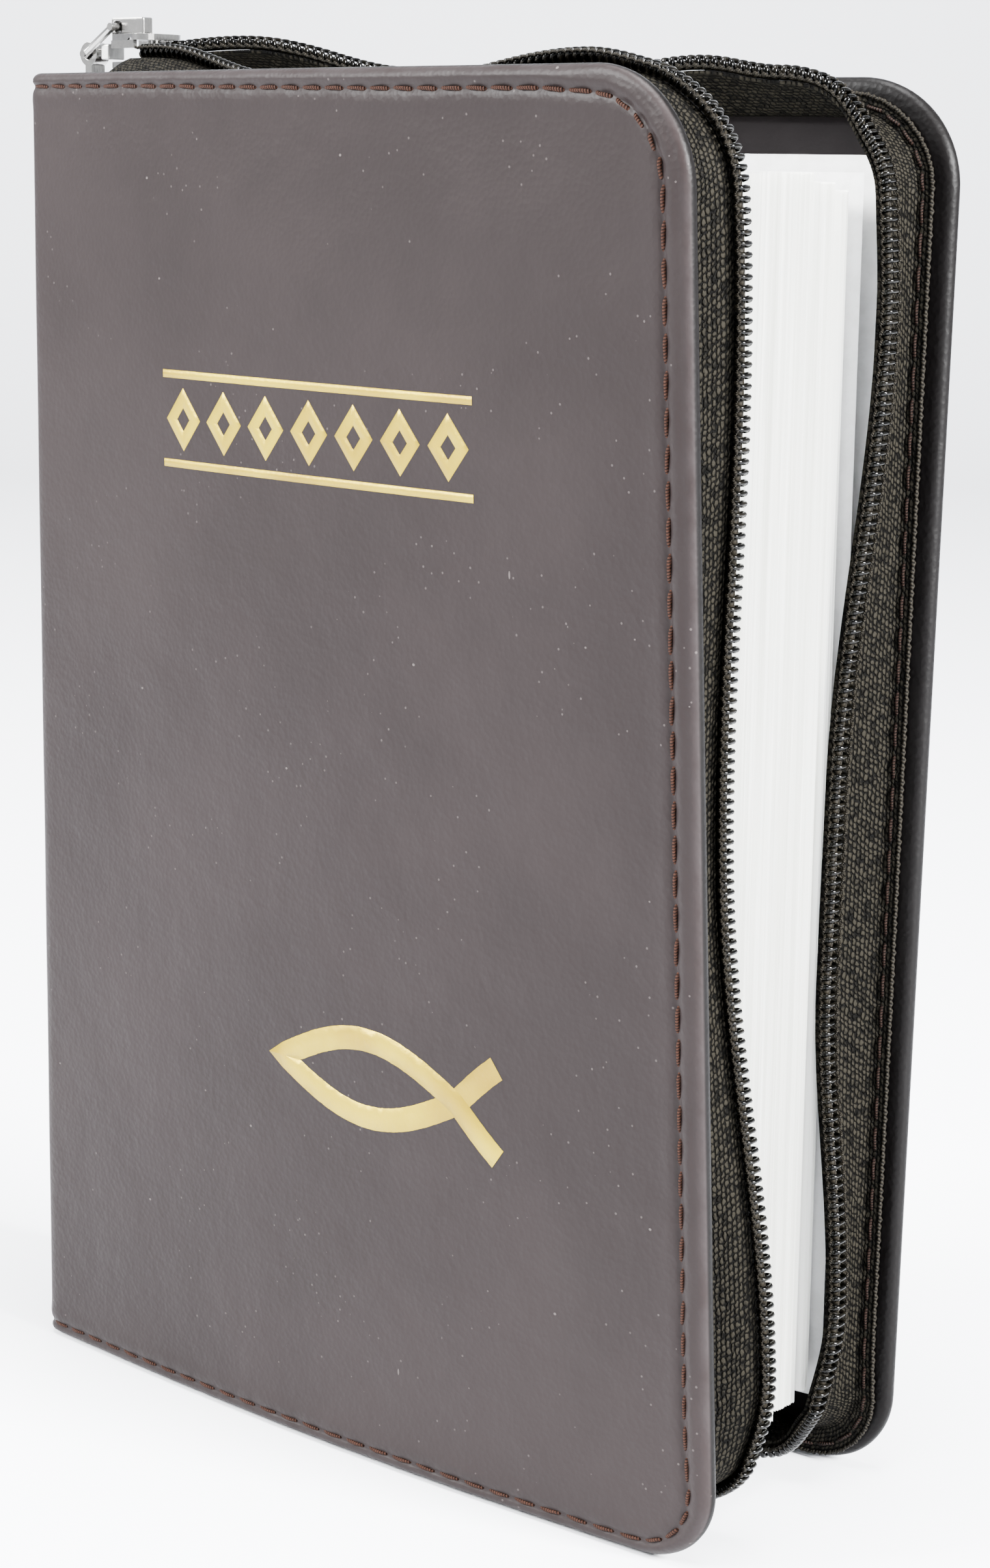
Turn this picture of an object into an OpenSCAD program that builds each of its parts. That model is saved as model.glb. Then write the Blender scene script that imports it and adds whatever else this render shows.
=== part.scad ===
// Pocket bible in a soft zip-round cover, standing open on its tail.
// +Z points from tail to head, +X from the spine to the fore edge, and the front cover faces -Y.
// The origin is the centre of the footprint, at the level the tail edges stand on.

/* [Covers] */
// Height of the covers, tail to head
cover_h = 170; // [160:1:180]
// Width of a cover, spine to fore edge
cover_w = 114.8; // [110:0.2:120]
// Thickness of the closed book, measured over the spine
spine_t = 30.5; // [30:0.1:32]
// Radius of the fore-edge corners at the head
head_r = 13; // [12:0.5:16]
// Radius of the fore-edge corners at the tail
tail_r = 10; // [9:0.5:13]
// How far the front cover has sprung out at the head of the fore edge
front_splay_head = 15.2; // [12:0.2:18]
// How far the front cover has sprung out at the tail of the fore edge
front_splay_tail = 3.2; // [3:0.1:5]
// How far the back cover has sprung out at the head of the fore edge
back_splay_head = 10.4; // [8:0.2:14]
// How far the back cover has sprung out at the tail of the fore edge
back_splay_tail = 5.9; // [5.5:0.1:8]
// Outward bow of the front cover across its width, at the tail
front_bow = 2.6; // [0:0.1:3]

/* [Layers] */
// Thickness of the outer leatherette skin
skin_t = 0.9; // [0.8:0.05:1]
// Thickness of the card stiffener
board_t = 0.9; // [0.7:0.05:1]
// Thickness of the smooth inner lining
lining_t = 0.4; // [0.3:0.05:0.5]
// Thickness of a pasted-down endpaper
paper_t = 0.15; // [0.1:0.05:0.2]

/* [Text block] */
// Height of the pages
page_h = 150; // [140:1:152]
// Width of the pages, from the glued back to the fore edge
page_w = 102.9; // [98:0.1:104]

/* [Zip] */
// Width of the sewn-down part of the tape
tape_seam_w = 3.4; // [3:0.1:4]
// Thickness of the woven tape
tape_t = 0.5; // [0.4:0.05:0.6]
// Height of the free edge of the tape over the lining
tape_rise = 8.6; // [8:0.1:9]
// Width of the nylon coil, across the tape
coil_w = 2.4; // [2.2:0.1:2.8]
// Thickness of the nylon coil, out from the tape
coil_t = 1.7; // [1.5:0.1:1.9]
// Length of one lock stitch, centre to centre
stitch_pitch = 3.85; // [3.4:0.05:4.4]

/* [Slider] */
// Length of the slider body
slider_l = 9; // [8:0.5:10]
// Width of the slider body
slider_w = 7.6; // [7:0.2:8.4]
// Length of the pull tab
pull_l = 21; // [16:1:26]

/* [Hidden] */

$fn = 32;
FRONT = -1;
BACK = 1;
layer_gap = 0.12;
x_spine = -cover_w / 2;
x_fore = cover_w / 2;
cover_t = skin_t + board_t + lining_t + 2 * layer_gap;
board_inset = 2.2;
lining_inset = 1.2;
pastedown_inset = 9;

// The footprint is centred in Y by half the difference of the two splays.
function spread(side, z) = side == FRONT
    ? front_splay_tail + (front_splay_head - front_splay_tail) * z / cover_h
    : back_splay_tail + (back_splay_head - back_splay_tail) * z / cover_h;
z_arc = cover_h - head_r;
y_mid = (spread(FRONT, z_arc) - spread(BACK, z_arc)) / 2;

// Slider parts are placed from the slider's middle, with its mouth towards +X.
plate_t = 0.8;
plate_gap = 2.7;
s_slider = 10.4;
slider_x = x_spine + s_slider - slider_l / 2 - 0.4;
slider_z = cover_h + 4 - coil_t / 2;
link_pin = [-3.6, plate_gap / 2 + plate_t + 1];
link_d = 1;
link_reach = [-5.2, -3.4];
pin_gap = 0.25;
eye_r = link_d / 2 + pin_gap + 0.8;

// The pull hangs behind the spine, and the front coil swells past the fore edge.
coil_swell = 2;
pull_reach = -(slider_x + link_pin[0] + link_reach[0]) + eye_r;
x_mid = (pull_reach - x_fore - coil_swell) / 2;

// Outer face of a cover, and faces a given depth below it.
function bow(side, x, z) = side == FRONT
    ? front_bow * (1 - 0.6 * z / cover_h) * sin(180 * (x - x_spine) / cover_w)
    : 0;
function face_y(side, x, z, depth) = side
    * (spine_t / 2 + spread(side, z) * (x - x_spine) / cover_w + bow(side, x, z) - depth);

// Cosine blend through hand-set [distance, value] pairs.
function ease(t) = (1 - cos(180 * t)) / 2;
function wave(s, knots, i = 0) =
    s <= knots[i][0] || i == len(knots) - 1 ? knots[i][1]
    : s > knots[i + 1][0] ? wave(s, knots, i + 1)
    : knots[i][1] + (knots[i + 1][1] - knots[i][1])
        * ease((s - knots[i][0]) / (knots[i + 1][0] - knots[i][0]));

// Point on the cover's outline, at distance s from the head corner at the spine, moved inwards.
head_run = cover_w - head_r;
s_fore = head_run + head_r * PI / 2;
s_low_arc = s_fore + cover_h - head_r - tail_r;
s_tail = s_low_arc + tail_r * PI / 2;
s_end = s_tail + cover_w - tail_r;
function edge_turn(s) =
    s < head_run ? 0
    : s < s_fore ? 90 * (s - head_run) / (s_fore - head_run)
    : s < s_low_arc ? 90
    : s < s_tail ? 90 + 90 * (s - s_low_arc) / (s_tail - s_low_arc)
    : 180;
function edge_root(s) =
    s < head_run ? [x_spine + s, cover_h]
    : s < s_fore ? [x_fore - head_r, z_arc]
    : s < s_low_arc ? [x_fore, z_arc - (s - s_fore)]
    : s < s_tail ? [x_fore - tail_r, tail_r]
    : [x_fore - tail_r - (s - s_tail), 0];
function edge_reach(s) =
    s > head_run && s < s_fore ? head_r
    : s > s_low_arc && s < s_tail ? tail_r
    : 0;
function edge_point(s, inset) =
    edge_root(s) + (edge_reach(s) - inset) * [sin(edge_turn(s)), cos(edge_turn(s))];
function edge_xyz(side, s, inset, depth) = let (p = edge_point(s, inset))
    [p[0], face_y(side, p[0], p[1], depth), p[1]];

// Where the outer face of the coil runs: outwards of the cover's outline, and risen from the lining.
front_out = [
    [0, 4], [12, 4], [40, 0], [62, -1], [92, 2.2], [110, -0.4], [130, 0.2],
    [197, -3.2], [257, coil_swell], [280, -3.3], [305, -2.6], [s_end, -2.6],
];
back_out = [
    [0, 4], [20, 5.2], [45, 1.2], [62, -1], [86, 2.4], [97, 1.2], [114, -2.9], [137, -1.6],
    [192, -5.2], [215, -5.2], [257, -1.8], [275, -4.6], [293, -1], [310, -2.6], [s_end, -2.6],
];
front_rise = [[0, 12.2], [12, 12], [38, tape_rise + 1], [60, tape_rise], [s_end, tape_rise]];
back_rise = [[0, 12.2], [12, 11.6], [34, tape_rise + 0.4], [60, tape_rise], [s_end, tape_rise]];
valley = [[0, 1.4], [34, 4.3], [s_end, 4.3]];
function coil_out(side, s) = wave(s, side == FRONT ? front_out : back_out);
function coil_rise(side, s) = wave(s, side == FRONT ? front_rise : back_rise);
s_bridge = 34;
s_stop = s_end - 8;

// Closed solid through a list of rings of equal length.
module loft(rings, turned) {
    n = len(rings[0]);
    m = len(rings);
    walls = [
        for (i = [0:m - 2], j = [0:n - 1])
            let (a = i * n + j, b = i * n + (j + 1) % n)
                each [[a, b, b + n], [a, b + n, a + n]],
    ];
    first = [for (j = [n - 1:-1:0]) j];
    last = [for (j = [0:n - 1]) (m - 1) * n + j];
    faces = concat(walls, [first], [last]);
    polyhedron(
        [for (r = rings) each r],
        turned ? [for (f = faces) [for (k = [len(f) - 1:-1:0]) f[k]]] : faces,
        convexity = 8
    );
}

// Everything is drawn about the middle of the covers and then centred.
module centred() {
    translate([x_mid, y_mid, 0]) children();
}

// Sheet that follows a cover's face between two depths, with round fore-edge corners.
arc_steps = 5;
flat_steps = 8;
row_steps = 8;
module sheet(side, x_from, x_to, z_inset, radii, outer, inner) {
    x_bend = x_to - radii[0];
    xs = concat(
        [for (i = [0:flat_steps]) x_from + (x_bend - x_from) * i / flat_steps],
        radii[0] > 0 ? [for (i = [1:arc_steps]) x_bend + radii[0] * sin(90 * i / arc_steps)] : []
    );
    function cut(x, radius) = z_inset + radius - (x > x_to - radius
        ? sqrt(max(0, radius * radius - (x - x_to + radius) * (x - x_to + radius)))
        : radius);
    points = [
        for (depth = [outer, inner], x = xs, j = [0:row_steps])
            let (
                low = cut(x, radii[1]),
                z = low + (cover_h - cut(x, radii[0]) - low) * j / row_steps
            )
                [x, face_y(side, x, z, depth), z],
    ];
    rows = row_steps + 1;
    cols = len(xs);
    far = rows * cols;
    skins = [
        for (i = [0:cols - 2], j = [0:row_steps - 1])
            let (p = i * rows + j, q = p + rows)
                each [
                    [p, p + 1, q + 1], [p, q + 1, q],
                    [far + p, far + q + 1, far + p + 1], [far + p, far + q, far + q + 1],
                ],
    ];
    rim = concat(
        [for (i = [0:cols - 2]) i * rows],
        [for (j = [0:row_steps - 1]) (cols - 1) * rows + j],
        [for (i = [cols - 1:-1:1]) i * rows + row_steps],
        [for (j = [row_steps:-1:1]) j]
    );
    edges = [
        for (k = [0:len(rim) - 1])
            let (a = rim[k], b = rim[(k + 1) % len(rim)])
                each [[a, b, far + b], [a, far + b, far + a]],
    ];
    faces = concat(skins, edges);
    polyhedron(
        points,
        side == FRONT ? faces : [for (f = faces) [f[2], f[1], f[0]]],
        convexity = 6
    );
}

// One layer of a cover, a given distance in from the outline.
module cover_layer(side, inset, outer, thickness) {
    centred() sheet(
        side, x_spine + inset, x_fore - inset, inset, [head_r - inset, tail_r - inset],
        outer, outer + thickness
    );
}
board_depth = skin_t + layer_gap;
lining_depth = board_depth + board_t + layer_gap;
module cover_skin(side) {
    cover_layer(side, 0, 0, skin_t);
}
module cover_board(side) {
    cover_layer(side, board_inset, board_depth, board_t);
}
module cover_lining(side) {
    cover_layer(side, lining_inset, lining_depth, lining_t);
}
module pastedown(side) {
    centred() sheet(
        side, x_spine + 4, x_fore - pastedown_inset, pastedown_inset, [0, 0],
        cover_t + layer_gap, cover_t + layer_gap + paper_t
    );
}

// Lock stitches in a line near the outline, each a short straight piece of thread.
stitch_line = [[0, 1.7], [90, 2.5], [115, 3.6], [260, 3.3], [290, 1.7], [s_end, 1.5]];
thread_d = 0.6;
stitch_share = 0.7;
stitch_count = floor((s_end - 6) / stitch_pitch);
module stitching(side) {
    centred() for (i = [0:stitch_count - 1]) {
        s = 3 + (i + 0.5) * stitch_pitch;
        a = edge_xyz(side, s, wave(s, stitch_line), -thread_d / 2 - layer_gap);
        b = edge_xyz(side, s + 0.5, wave(s, stitch_line), -thread_d / 2 - layer_gap);
        run = b - a;
        translate(a)
            rotate([0, -asin(run[2] / norm(run)), atan2(run[1], run[0])])
                cube([stitch_share * stitch_pitch, thread_d, thread_d], center = true);
    }
}

// Foil pieces lie just over the front skin.
foil_lift = 0.12;
foil_t = 0.08;
module foil_ribbon(line, half_w) {
    n = len(line);
    rings = [
        for (i = [0:n - 1])
            let (
                a = line[max(0, i - 1)],
                b = line[min(n - 1, i + 1)],
                t = (b - a) / norm(b - a),
                side_step = half_w * [-t[1], t[0]]
            )
                [
                    for (k = [[1, 0], [-1, 0], [-1, 1], [1, 1]])
                        let (p = line[i] + k[0] * side_step)
                            [p[0], face_y(FRONT, p[0], p[1], -foil_lift - k[1] * foil_t), p[1]],
                ],
    ];
    loft(rings, false);
}
band_x = [-29, 25.5];
band_z = [122.5, 133.5];
lozenges = 7;
module foil_lozenge(x, half_x, z, half_z) {
    corners = [[x - half_x, z], [x, z - half_z], [x + half_x, z], [x, z + half_z]];
    loft(
        [for (lift = [foil_lift, foil_lift + foil_t])
            [for (c = corners) [c[0], face_y(FRONT, c[0], c[1], -lift), c[1]]]],
        true
    );
}
// The fish is two mirrored curves that cross before the tail.
fish_nose = [-8, 50.2];
fish_body_l = 29.2;
fish_body_h = 4.9;
fish_tail_h = 8.8;
fish_half_w = 1.5;
fish_tail_end = 1.22;
fish_steps = 28;
function fish_curve(turn) = [
    for (i = [0:fish_steps])
        let (t = fish_tail_end * i / fish_steps)
            fish_nose + [t * fish_body_l, turn * (t < 1 ? fish_body_h : fish_tail_h) * sin(180 * t)],
];

// A zip tape's section: sewn flat inside the edge, then risen to a straight part behind the coil.
module zip_tape(side, s_from, s_to, station) {
    n = ceil((s_to - s_from) / station);
    rings = [
        for (i = [0:n])
            let (
                s = s_from + (s_to - s_from) * i / n,
                fold = wave(s, valley),
                lip = max(0.8, fold - tape_seam_w),
                free = coil_t + tape_t / 2 + layer_gap - coil_out(side, s),
                base = cover_t + layer_gap,
                rise = base + coil_rise(side, s),
                knee = rise - coil_w + 0.2
            )
                [
                    edge_xyz(side, s, lip, base),
                    edge_xyz(side, s, fold + tape_t, base),
                    edge_xyz(side, s, free + tape_t / 2, knee),
                    edge_xyz(side, s, free + tape_t / 2, rise),
                    edge_xyz(side, s, free - tape_t / 2, rise),
                    edge_xyz(side, s, free - tape_t / 2, knee),
                    edge_xyz(side, s, fold, base + tape_t),
                    edge_xyz(side, s, lip, base + tape_t),
                ],
    ];
    centred() loft(rings, side == BACK);
}

// The coil, as its smooth outer envelope along the tape's free edge.
coil_sides = 8;
coil_overhang = 0.7;
module zip_coil(side, s_from, s_to, station) {
    n = ceil((s_to - s_from) / station);
    rings = [
        for (i = [0:n])
            let (
                s = s_from + (s_to - s_from) * i / n,
                mid = coil_t / 2 - coil_out(side, s),
                rise = cover_t + coil_rise(side, s) - coil_w / 2 + coil_overhang
            )
                [
                    for (k = [0:coil_sides - 1])
                        let (a = 360 * (k + 0.5) / coil_sides)
                            edge_xyz(
                                side, s, mid - coil_t / 2 * cos(a), rise + coil_w / 2 * sin(a)
                            ),
                ],
    ];
    centred() loft(rings, side == FRONT);
}
module top_stop(side) {
    s = s_stop + 1.6;
    p = edge_xyz(
        side, s, coil_t / 2 - coil_out(side, s),
        cover_t + coil_rise(side, s) - coil_w / 2 + coil_overhang
    );
    centred() translate(p) cube([1.8, coil_w + 0.4, coil_t + 0.1], center = true);
}

// Flat outline of the page sections, seen from the head.
page_x = [x_fore - 8 - page_w, x_fore - 8];
page_z = (cover_h - page_h) / 2 - 1;
module pages(back, fore, x_back = page_x[0]) {
    centred() translate([0, 0, page_z]) linear_extrude(page_h) polygon([
        [x_back, back[0]], [page_x[1], fore[0]], [page_x[1], fore[1]], [x_back, back[1]],
    ]);
}

// Strip along the inside of the spine, from one depth to another.
module spine_strip(depth, thickness, half_y, z_from, z_to) {
    centred() translate([x_spine + depth, -half_y, z_from])
        cube([thickness, 2 * half_y, z_to - z_from]);
}
spine_half = spine_t / 2 - cover_t - 0.15;
band_r = 0.9;
band_half = 11;
module end_band(z) {
    centred() translate([page_x[0] + 1, 0, z])
        rotate([90, 0, 0]) cylinder(r = band_r, h = 2 * band_half, center = true);
}

// Slider parts are drawn with the slider's middle at the origin.
crown_h = 2.2;
crown_l = 6;
crown_x = -1.8;
crown_w = 1.8;
link_half = 1.8;
module at_slider() {
    centred() translate([slider_x, 0, slider_z]) children();
}
module slider_plate() {
    linear_extrude(plate_t, center = true) hull() {
        translate([slider_l / 2 - 2, slider_w / 2 - 2]) circle(2);
        translate([slider_l / 2 - 2, 2 - slider_w / 2]) circle(2);
        translate([2.4 - slider_l / 2, 0]) circle(2.4);
    }
}
module slider_flange(side) {
    hull_l = slider_l * 0.55;
    translate([-0.4, side * (slider_w / 2 - 0.95), plate_gap / 2 - 0.5])
        rotate([0, 0, side * 9]) cube([hull_l, 0.6, 1.02], center = true);
}
module link_bar(p, q) {
    v = q - p;
    translate([p[0], 0, p[1]]) rotate([0, 90 - atan2(v[1], v[0]), 0]) cylinder(d = link_d, h = norm(v));
}

module front_cover_skin() {
    color("#4a4140") cover_skin(FRONT);
}
module back_cover_skin() {
    color("#4a4140") cover_skin(BACK);
}
module front_cover_board() {
    color("#8d8474") cover_board(FRONT);
}
module back_cover_board() {
    color("#8d8474") cover_board(BACK);
}
module front_cover_lining() {
    color("#2b2224") cover_lining(FRONT);
}
module back_cover_lining() {
    color("#2b2224") cover_lining(BACK);
}
module front_pastedown() {
    color("#f2f1ec") pastedown(FRONT);
}
module back_pastedown() {
    color("#f2f1ec") pastedown(BACK);
}
module front_stitching() {
    color("#6b4432") stitching(FRONT);
}
module back_stitching() {
    color("#6b4432") stitching(BACK);
}
module title_band_foil() {
    rule_w = 0.5;
    step = (band_x[1] - band_x[0]) / lozenges;
    color("#d9b23c") centred() {
        for (z = band_z)
            foil_ribbon([for (i = [0:8]) [band_x[0] + (band_x[1] - band_x[0]) * i / 8, z]], rule_w);
        for (i = [0:lozenges - 1])
            foil_lozenge(
                band_x[0] + step * (i + 0.5), step * 0.42,
                (band_z[0] + band_z[1]) / 2, (band_z[1] - band_z[0]) / 2 - 1.6
            );
    }
}
module fish_foil() {
    color("#d9b23c") centred() {
        foil_ribbon(fish_curve(1), fish_half_w);
        foil_ribbon(fish_curve(-1), fish_half_w);
    }
}
module spine_skin() {
    color("#4a4140") spine_strip(0, skin_t, spine_half, 0, cover_h);
}
module spine_board() {
    color("#8d8474") spine_strip(board_depth, board_t, spine_half - 1, 2, cover_h - 2);
}
module spine_lining() {
    color("#2b2224") spine_strip(lining_depth, lining_t, spine_half - 0.5, 1, cover_h - 1);
}
module spine_mull() {
    color("#d8d2c0") spine_strip(cover_t + 0.3, 0.35, 11.3, 22, cover_h - 22);
}
module spine_glue() {
    glue_x = page_x[0] - x_spine - 0.5;
    color("#cbb98a") spine_strip(glue_x, 0.4, 10.5, page_z + 1, page_z + page_h - 1);
}
module headband() {
    color("#efe9dc") end_band(page_z + page_h + band_r + 0.1);
}
module tailband() {
    color("#efe9dc") end_band(page_z - band_r - 0.1);
}
module text_block() {
    color("#f5f4ee") pages([-9.9, 5], [-9.9, 6]);
}
module back_gathering() {
    color("#f5f4ee") pages([5.1, 9], [6.2, 10.7]);
}
module front_leaves() {
    color("#f5f4ee") pages([-12, -10.1], [-13.2, -11.2]);
}
module front_flyleaf() {
    color("#f5f4ee") pages([-12.4, -12.15], [-14.4, -14.15], page_x[0] - 0.4);
}
module back_leaves() {
    color("#f5f4ee") pages([9.1, 10.6], [11.8, 13.4]);
}
module back_flyleaf() {
    color("#f5f4ee") pages([11.7, 11.95], [16.2, 16.45]);
}
module front_zip_tape() {
    color("#2c2b24") zip_tape(FRONT, s_bridge + 0.2, s_end - 5, 1.7);
}
module back_zip_tape() {
    color("#2c2b24") zip_tape(BACK, s_bridge + 0.2, s_end - 5, 1.7);
}
module front_zip_coil() {
    color("#15140f") zip_coil(FRONT, s_bridge + 0.2, s_stop, 2.4);
}
module back_zip_coil() {
    color("#15140f") zip_coil(BACK, s_bridge + 0.2, s_stop, 2.4);
}
module front_zip_end() {
    color("#2c2b24") {
        zip_tape(FRONT, s_slider, s_bridge, 1.2);
        zip_coil(FRONT, s_slider, s_bridge, 2.4);
    }
}
module back_zip_end() {
    color("#2c2b24") {
        zip_tape(BACK, s_slider, s_bridge, 1.2);
        zip_coil(BACK, s_slider, s_bridge, 2.4);
    }
}
module front_top_stop() {
    color("#8c8a86") top_stop(FRONT);
}
module back_top_stop() {
    color("#8c8a86") top_stop(BACK);
}
module zip_slider() {
    color("#c9cbcc") at_slider() union() {
        for (lift = [-1, 1])
            translate([0, 0, lift * (plate_gap + plate_t) / 2]) slider_plate();
        translate([slider_l / 2 - 2.2, 0, 0]) cylinder(d = 1.8, h = plate_gap + 0.1, center = true);
        for (side = [-1, 1]) slider_flange(side);
    }
}
module slider_crown() {
    color("#c9cbcc") at_slider() difference() {
        translate([crown_x, 0, (plate_gap + crown_h) / 2 + plate_t])
            cube([crown_l, crown_w, crown_h], center = true);
        translate([link_pin[0], 0, link_pin[1]])
            rotate([90, 0, 0]) cylinder(d = link_d + 2 * pin_gap, h = 2 * crown_w, center = true);
    }
}
module pull_link() {
    end = link_pin + link_reach;
    color("#c9cbcc") at_slider() union() {
        for (y = [-link_half, link_half])
            translate([0, y, 0]) link_bar(link_pin, end);
        for (p = [link_pin, end])
            translate([p[0], 0, p[1]]) rotate([90, 0, 0])
                cylinder(d = link_d, h = 2 * link_half + link_d, center = true);
    }
}
module pull_tab() {
    hole_d = link_d + 2 * pin_gap;
    eye = link_pin + link_reach;
    tab_w = 5.4;
    neck_w = 2.4;
    tab_t = 1.2;
    color("#c9cbcc") at_slider() translate([eye[0], 0, eye[1]])
        rotate([0, 90, 0]) difference() {
            union() {
                rotate([90, 0, 0]) cylinder(r = eye_r, h = neck_w, center = true);
                translate([3, 0, 0]) cube([4.4, neck_w, tab_t], center = true);
                translate([4.8, -tab_w / 2, -tab_t / 2]) cube([pull_l - 4.8 - tab_w / 2, tab_w, tab_t]);
                translate([pull_l - tab_w / 2, 0, 0]) cylinder(d = tab_w, h = tab_t, center = true);
            }
            rotate([90, 0, 0]) cylinder(d = hole_d, h = neck_w + 2, center = true);
        }
}
module zip_end_stop() {
    color("#8c8a86") at_slider() translate([-slider_l / 2 - 0.9, 0, 0])
        cube([1.4, 3, coil_t + 0.3], center = true);
}

front_cover_skin();
front_cover_board();
front_cover_lining();
front_pastedown();
front_stitching();
title_band_foil();
fish_foil();
back_cover_skin();
back_cover_board();
back_cover_lining();
back_pastedown();
back_stitching();
spine_skin();
spine_board();
spine_lining();
text_block();
back_gathering();
front_leaves();
front_flyleaf();
back_leaves();
back_flyleaf();
spine_mull();
spine_glue();
headband();
tailband();
front_zip_tape();
front_zip_coil();
front_zip_end();
front_top_stop();
back_zip_tape();
back_zip_coil();
back_zip_end();
back_top_stop();
zip_slider();
slider_crown();
pull_link();
pull_tab();
zip_end_stop();
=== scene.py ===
"""Pocket bible in a soft zip-round cover, standing open on its tail.

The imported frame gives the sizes, places and moving bodies. This script adds the looks: the rolled
leatherette case with its lock stitching, the woven zip tapes with their wound nylon coils, the nickel
slider and pull, the fanned pages and endpapers, and the gold foil on the front.
"""
import logging
import math
import random
from dataclasses import dataclass, field
from enum import Enum
from typing import Any, Callable, Sequence

import bmesh
import bpy
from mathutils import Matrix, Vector


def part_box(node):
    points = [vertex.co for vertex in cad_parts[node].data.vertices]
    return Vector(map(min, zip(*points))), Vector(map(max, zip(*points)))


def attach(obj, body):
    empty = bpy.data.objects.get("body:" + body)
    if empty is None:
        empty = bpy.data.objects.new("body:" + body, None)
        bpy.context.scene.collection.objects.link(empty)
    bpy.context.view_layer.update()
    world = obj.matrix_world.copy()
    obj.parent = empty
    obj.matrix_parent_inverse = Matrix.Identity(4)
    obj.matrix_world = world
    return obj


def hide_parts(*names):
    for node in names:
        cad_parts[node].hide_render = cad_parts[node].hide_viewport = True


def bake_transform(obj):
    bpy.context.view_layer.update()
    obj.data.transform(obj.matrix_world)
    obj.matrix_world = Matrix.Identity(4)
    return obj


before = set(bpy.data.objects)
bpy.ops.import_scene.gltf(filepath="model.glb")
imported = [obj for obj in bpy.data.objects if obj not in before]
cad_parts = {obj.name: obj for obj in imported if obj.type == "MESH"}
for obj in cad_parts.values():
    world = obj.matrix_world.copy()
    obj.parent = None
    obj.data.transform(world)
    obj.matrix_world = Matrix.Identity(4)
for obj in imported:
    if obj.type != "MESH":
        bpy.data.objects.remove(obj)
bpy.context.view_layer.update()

LOG = logging.getLogger("bible")
MM = 0.001
Colour = tuple[float, float, float]
Point = tuple[float, float, float]


class Side(Enum):
    """Which cover a piece belongs to; the value is the sign of its Y."""

    FRONT = -1
    BACK = 1

    @property
    def word(self) -> str:
        """The word that piece names start with."""
        return self.name.lower()

    @property
    def body(self) -> str:
        """The moving body of this cover."""
        return self.word + "_cover"


# ---------------------------------------------------------------- shader kit


class Wire:
    """A shader output that can be used in plain arithmetic, each operator adding a Math node."""

    def __init__(self, recipe: "Recipe", socket: bpy.types.NodeSocket) -> None:
        """Wraps one output socket of a recipe's node."""
        self.recipe = recipe
        self.socket = socket

    def _math(self, operation: str, *terms: Any) -> "Wire":
        """Adds one Math node.

        Args:
            operation: the Math node's operation.
            terms: its inputs in order, wires or numbers.

        Returns:
            The node's value.
        """
        return self.recipe.node("ShaderNodeMath", {"operation": operation}, dict(enumerate(terms)))

    def __add__(self, other: Any) -> "Wire":
        """Sum."""
        return self._math("ADD", self, other)

    __radd__ = __add__

    def __sub__(self, other: Any) -> "Wire":
        """Difference."""
        return self._math("SUBTRACT", self, other)

    def __rsub__(self, other: Any) -> "Wire":
        """Difference, from a number."""
        return self._math("SUBTRACT", other, self)

    def __mul__(self, other: Any) -> "Wire":
        """Product."""
        return self._math("MULTIPLY", self, other)

    __rmul__ = __mul__

    def __truediv__(self, other: Any) -> "Wire":
        """Quotient."""
        return self._math("DIVIDE", self, other)

    def __gt__(self, other: Any) -> "Wire":
        """One where this is greater, else nought."""
        return self._math("GREATER_THAN", self, other)

    def __lt__(self, other: Any) -> "Wire":
        """One where this is less, else nought."""
        return self._math("LESS_THAN", self, other)

    def sine(self) -> "Wire":
        """Sine of the value in radians."""
        return self._math("SINE", self)

    def size(self) -> "Wire":
        """Absolute value."""
        return self._math("ABSOLUTE", self)

    def floor(self) -> "Wire":
        """The whole number below."""
        return self._math("FLOOR", self)

    def power(self, exponent: float) -> "Wire":
        """The value raised to a power."""
        return self._math("POWER", self, exponent)

    def band(self, low: float, high: float) -> "Wire":
        """The value taken from low..high to a clamped, smooth 0..1."""
        return self.recipe.node(
            "ShaderNodeMapRange", {"interpolation_type": "SMOOTHSTEP"},
            {"Value": self, "From Min": low, "From Max": high},
        )


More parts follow.
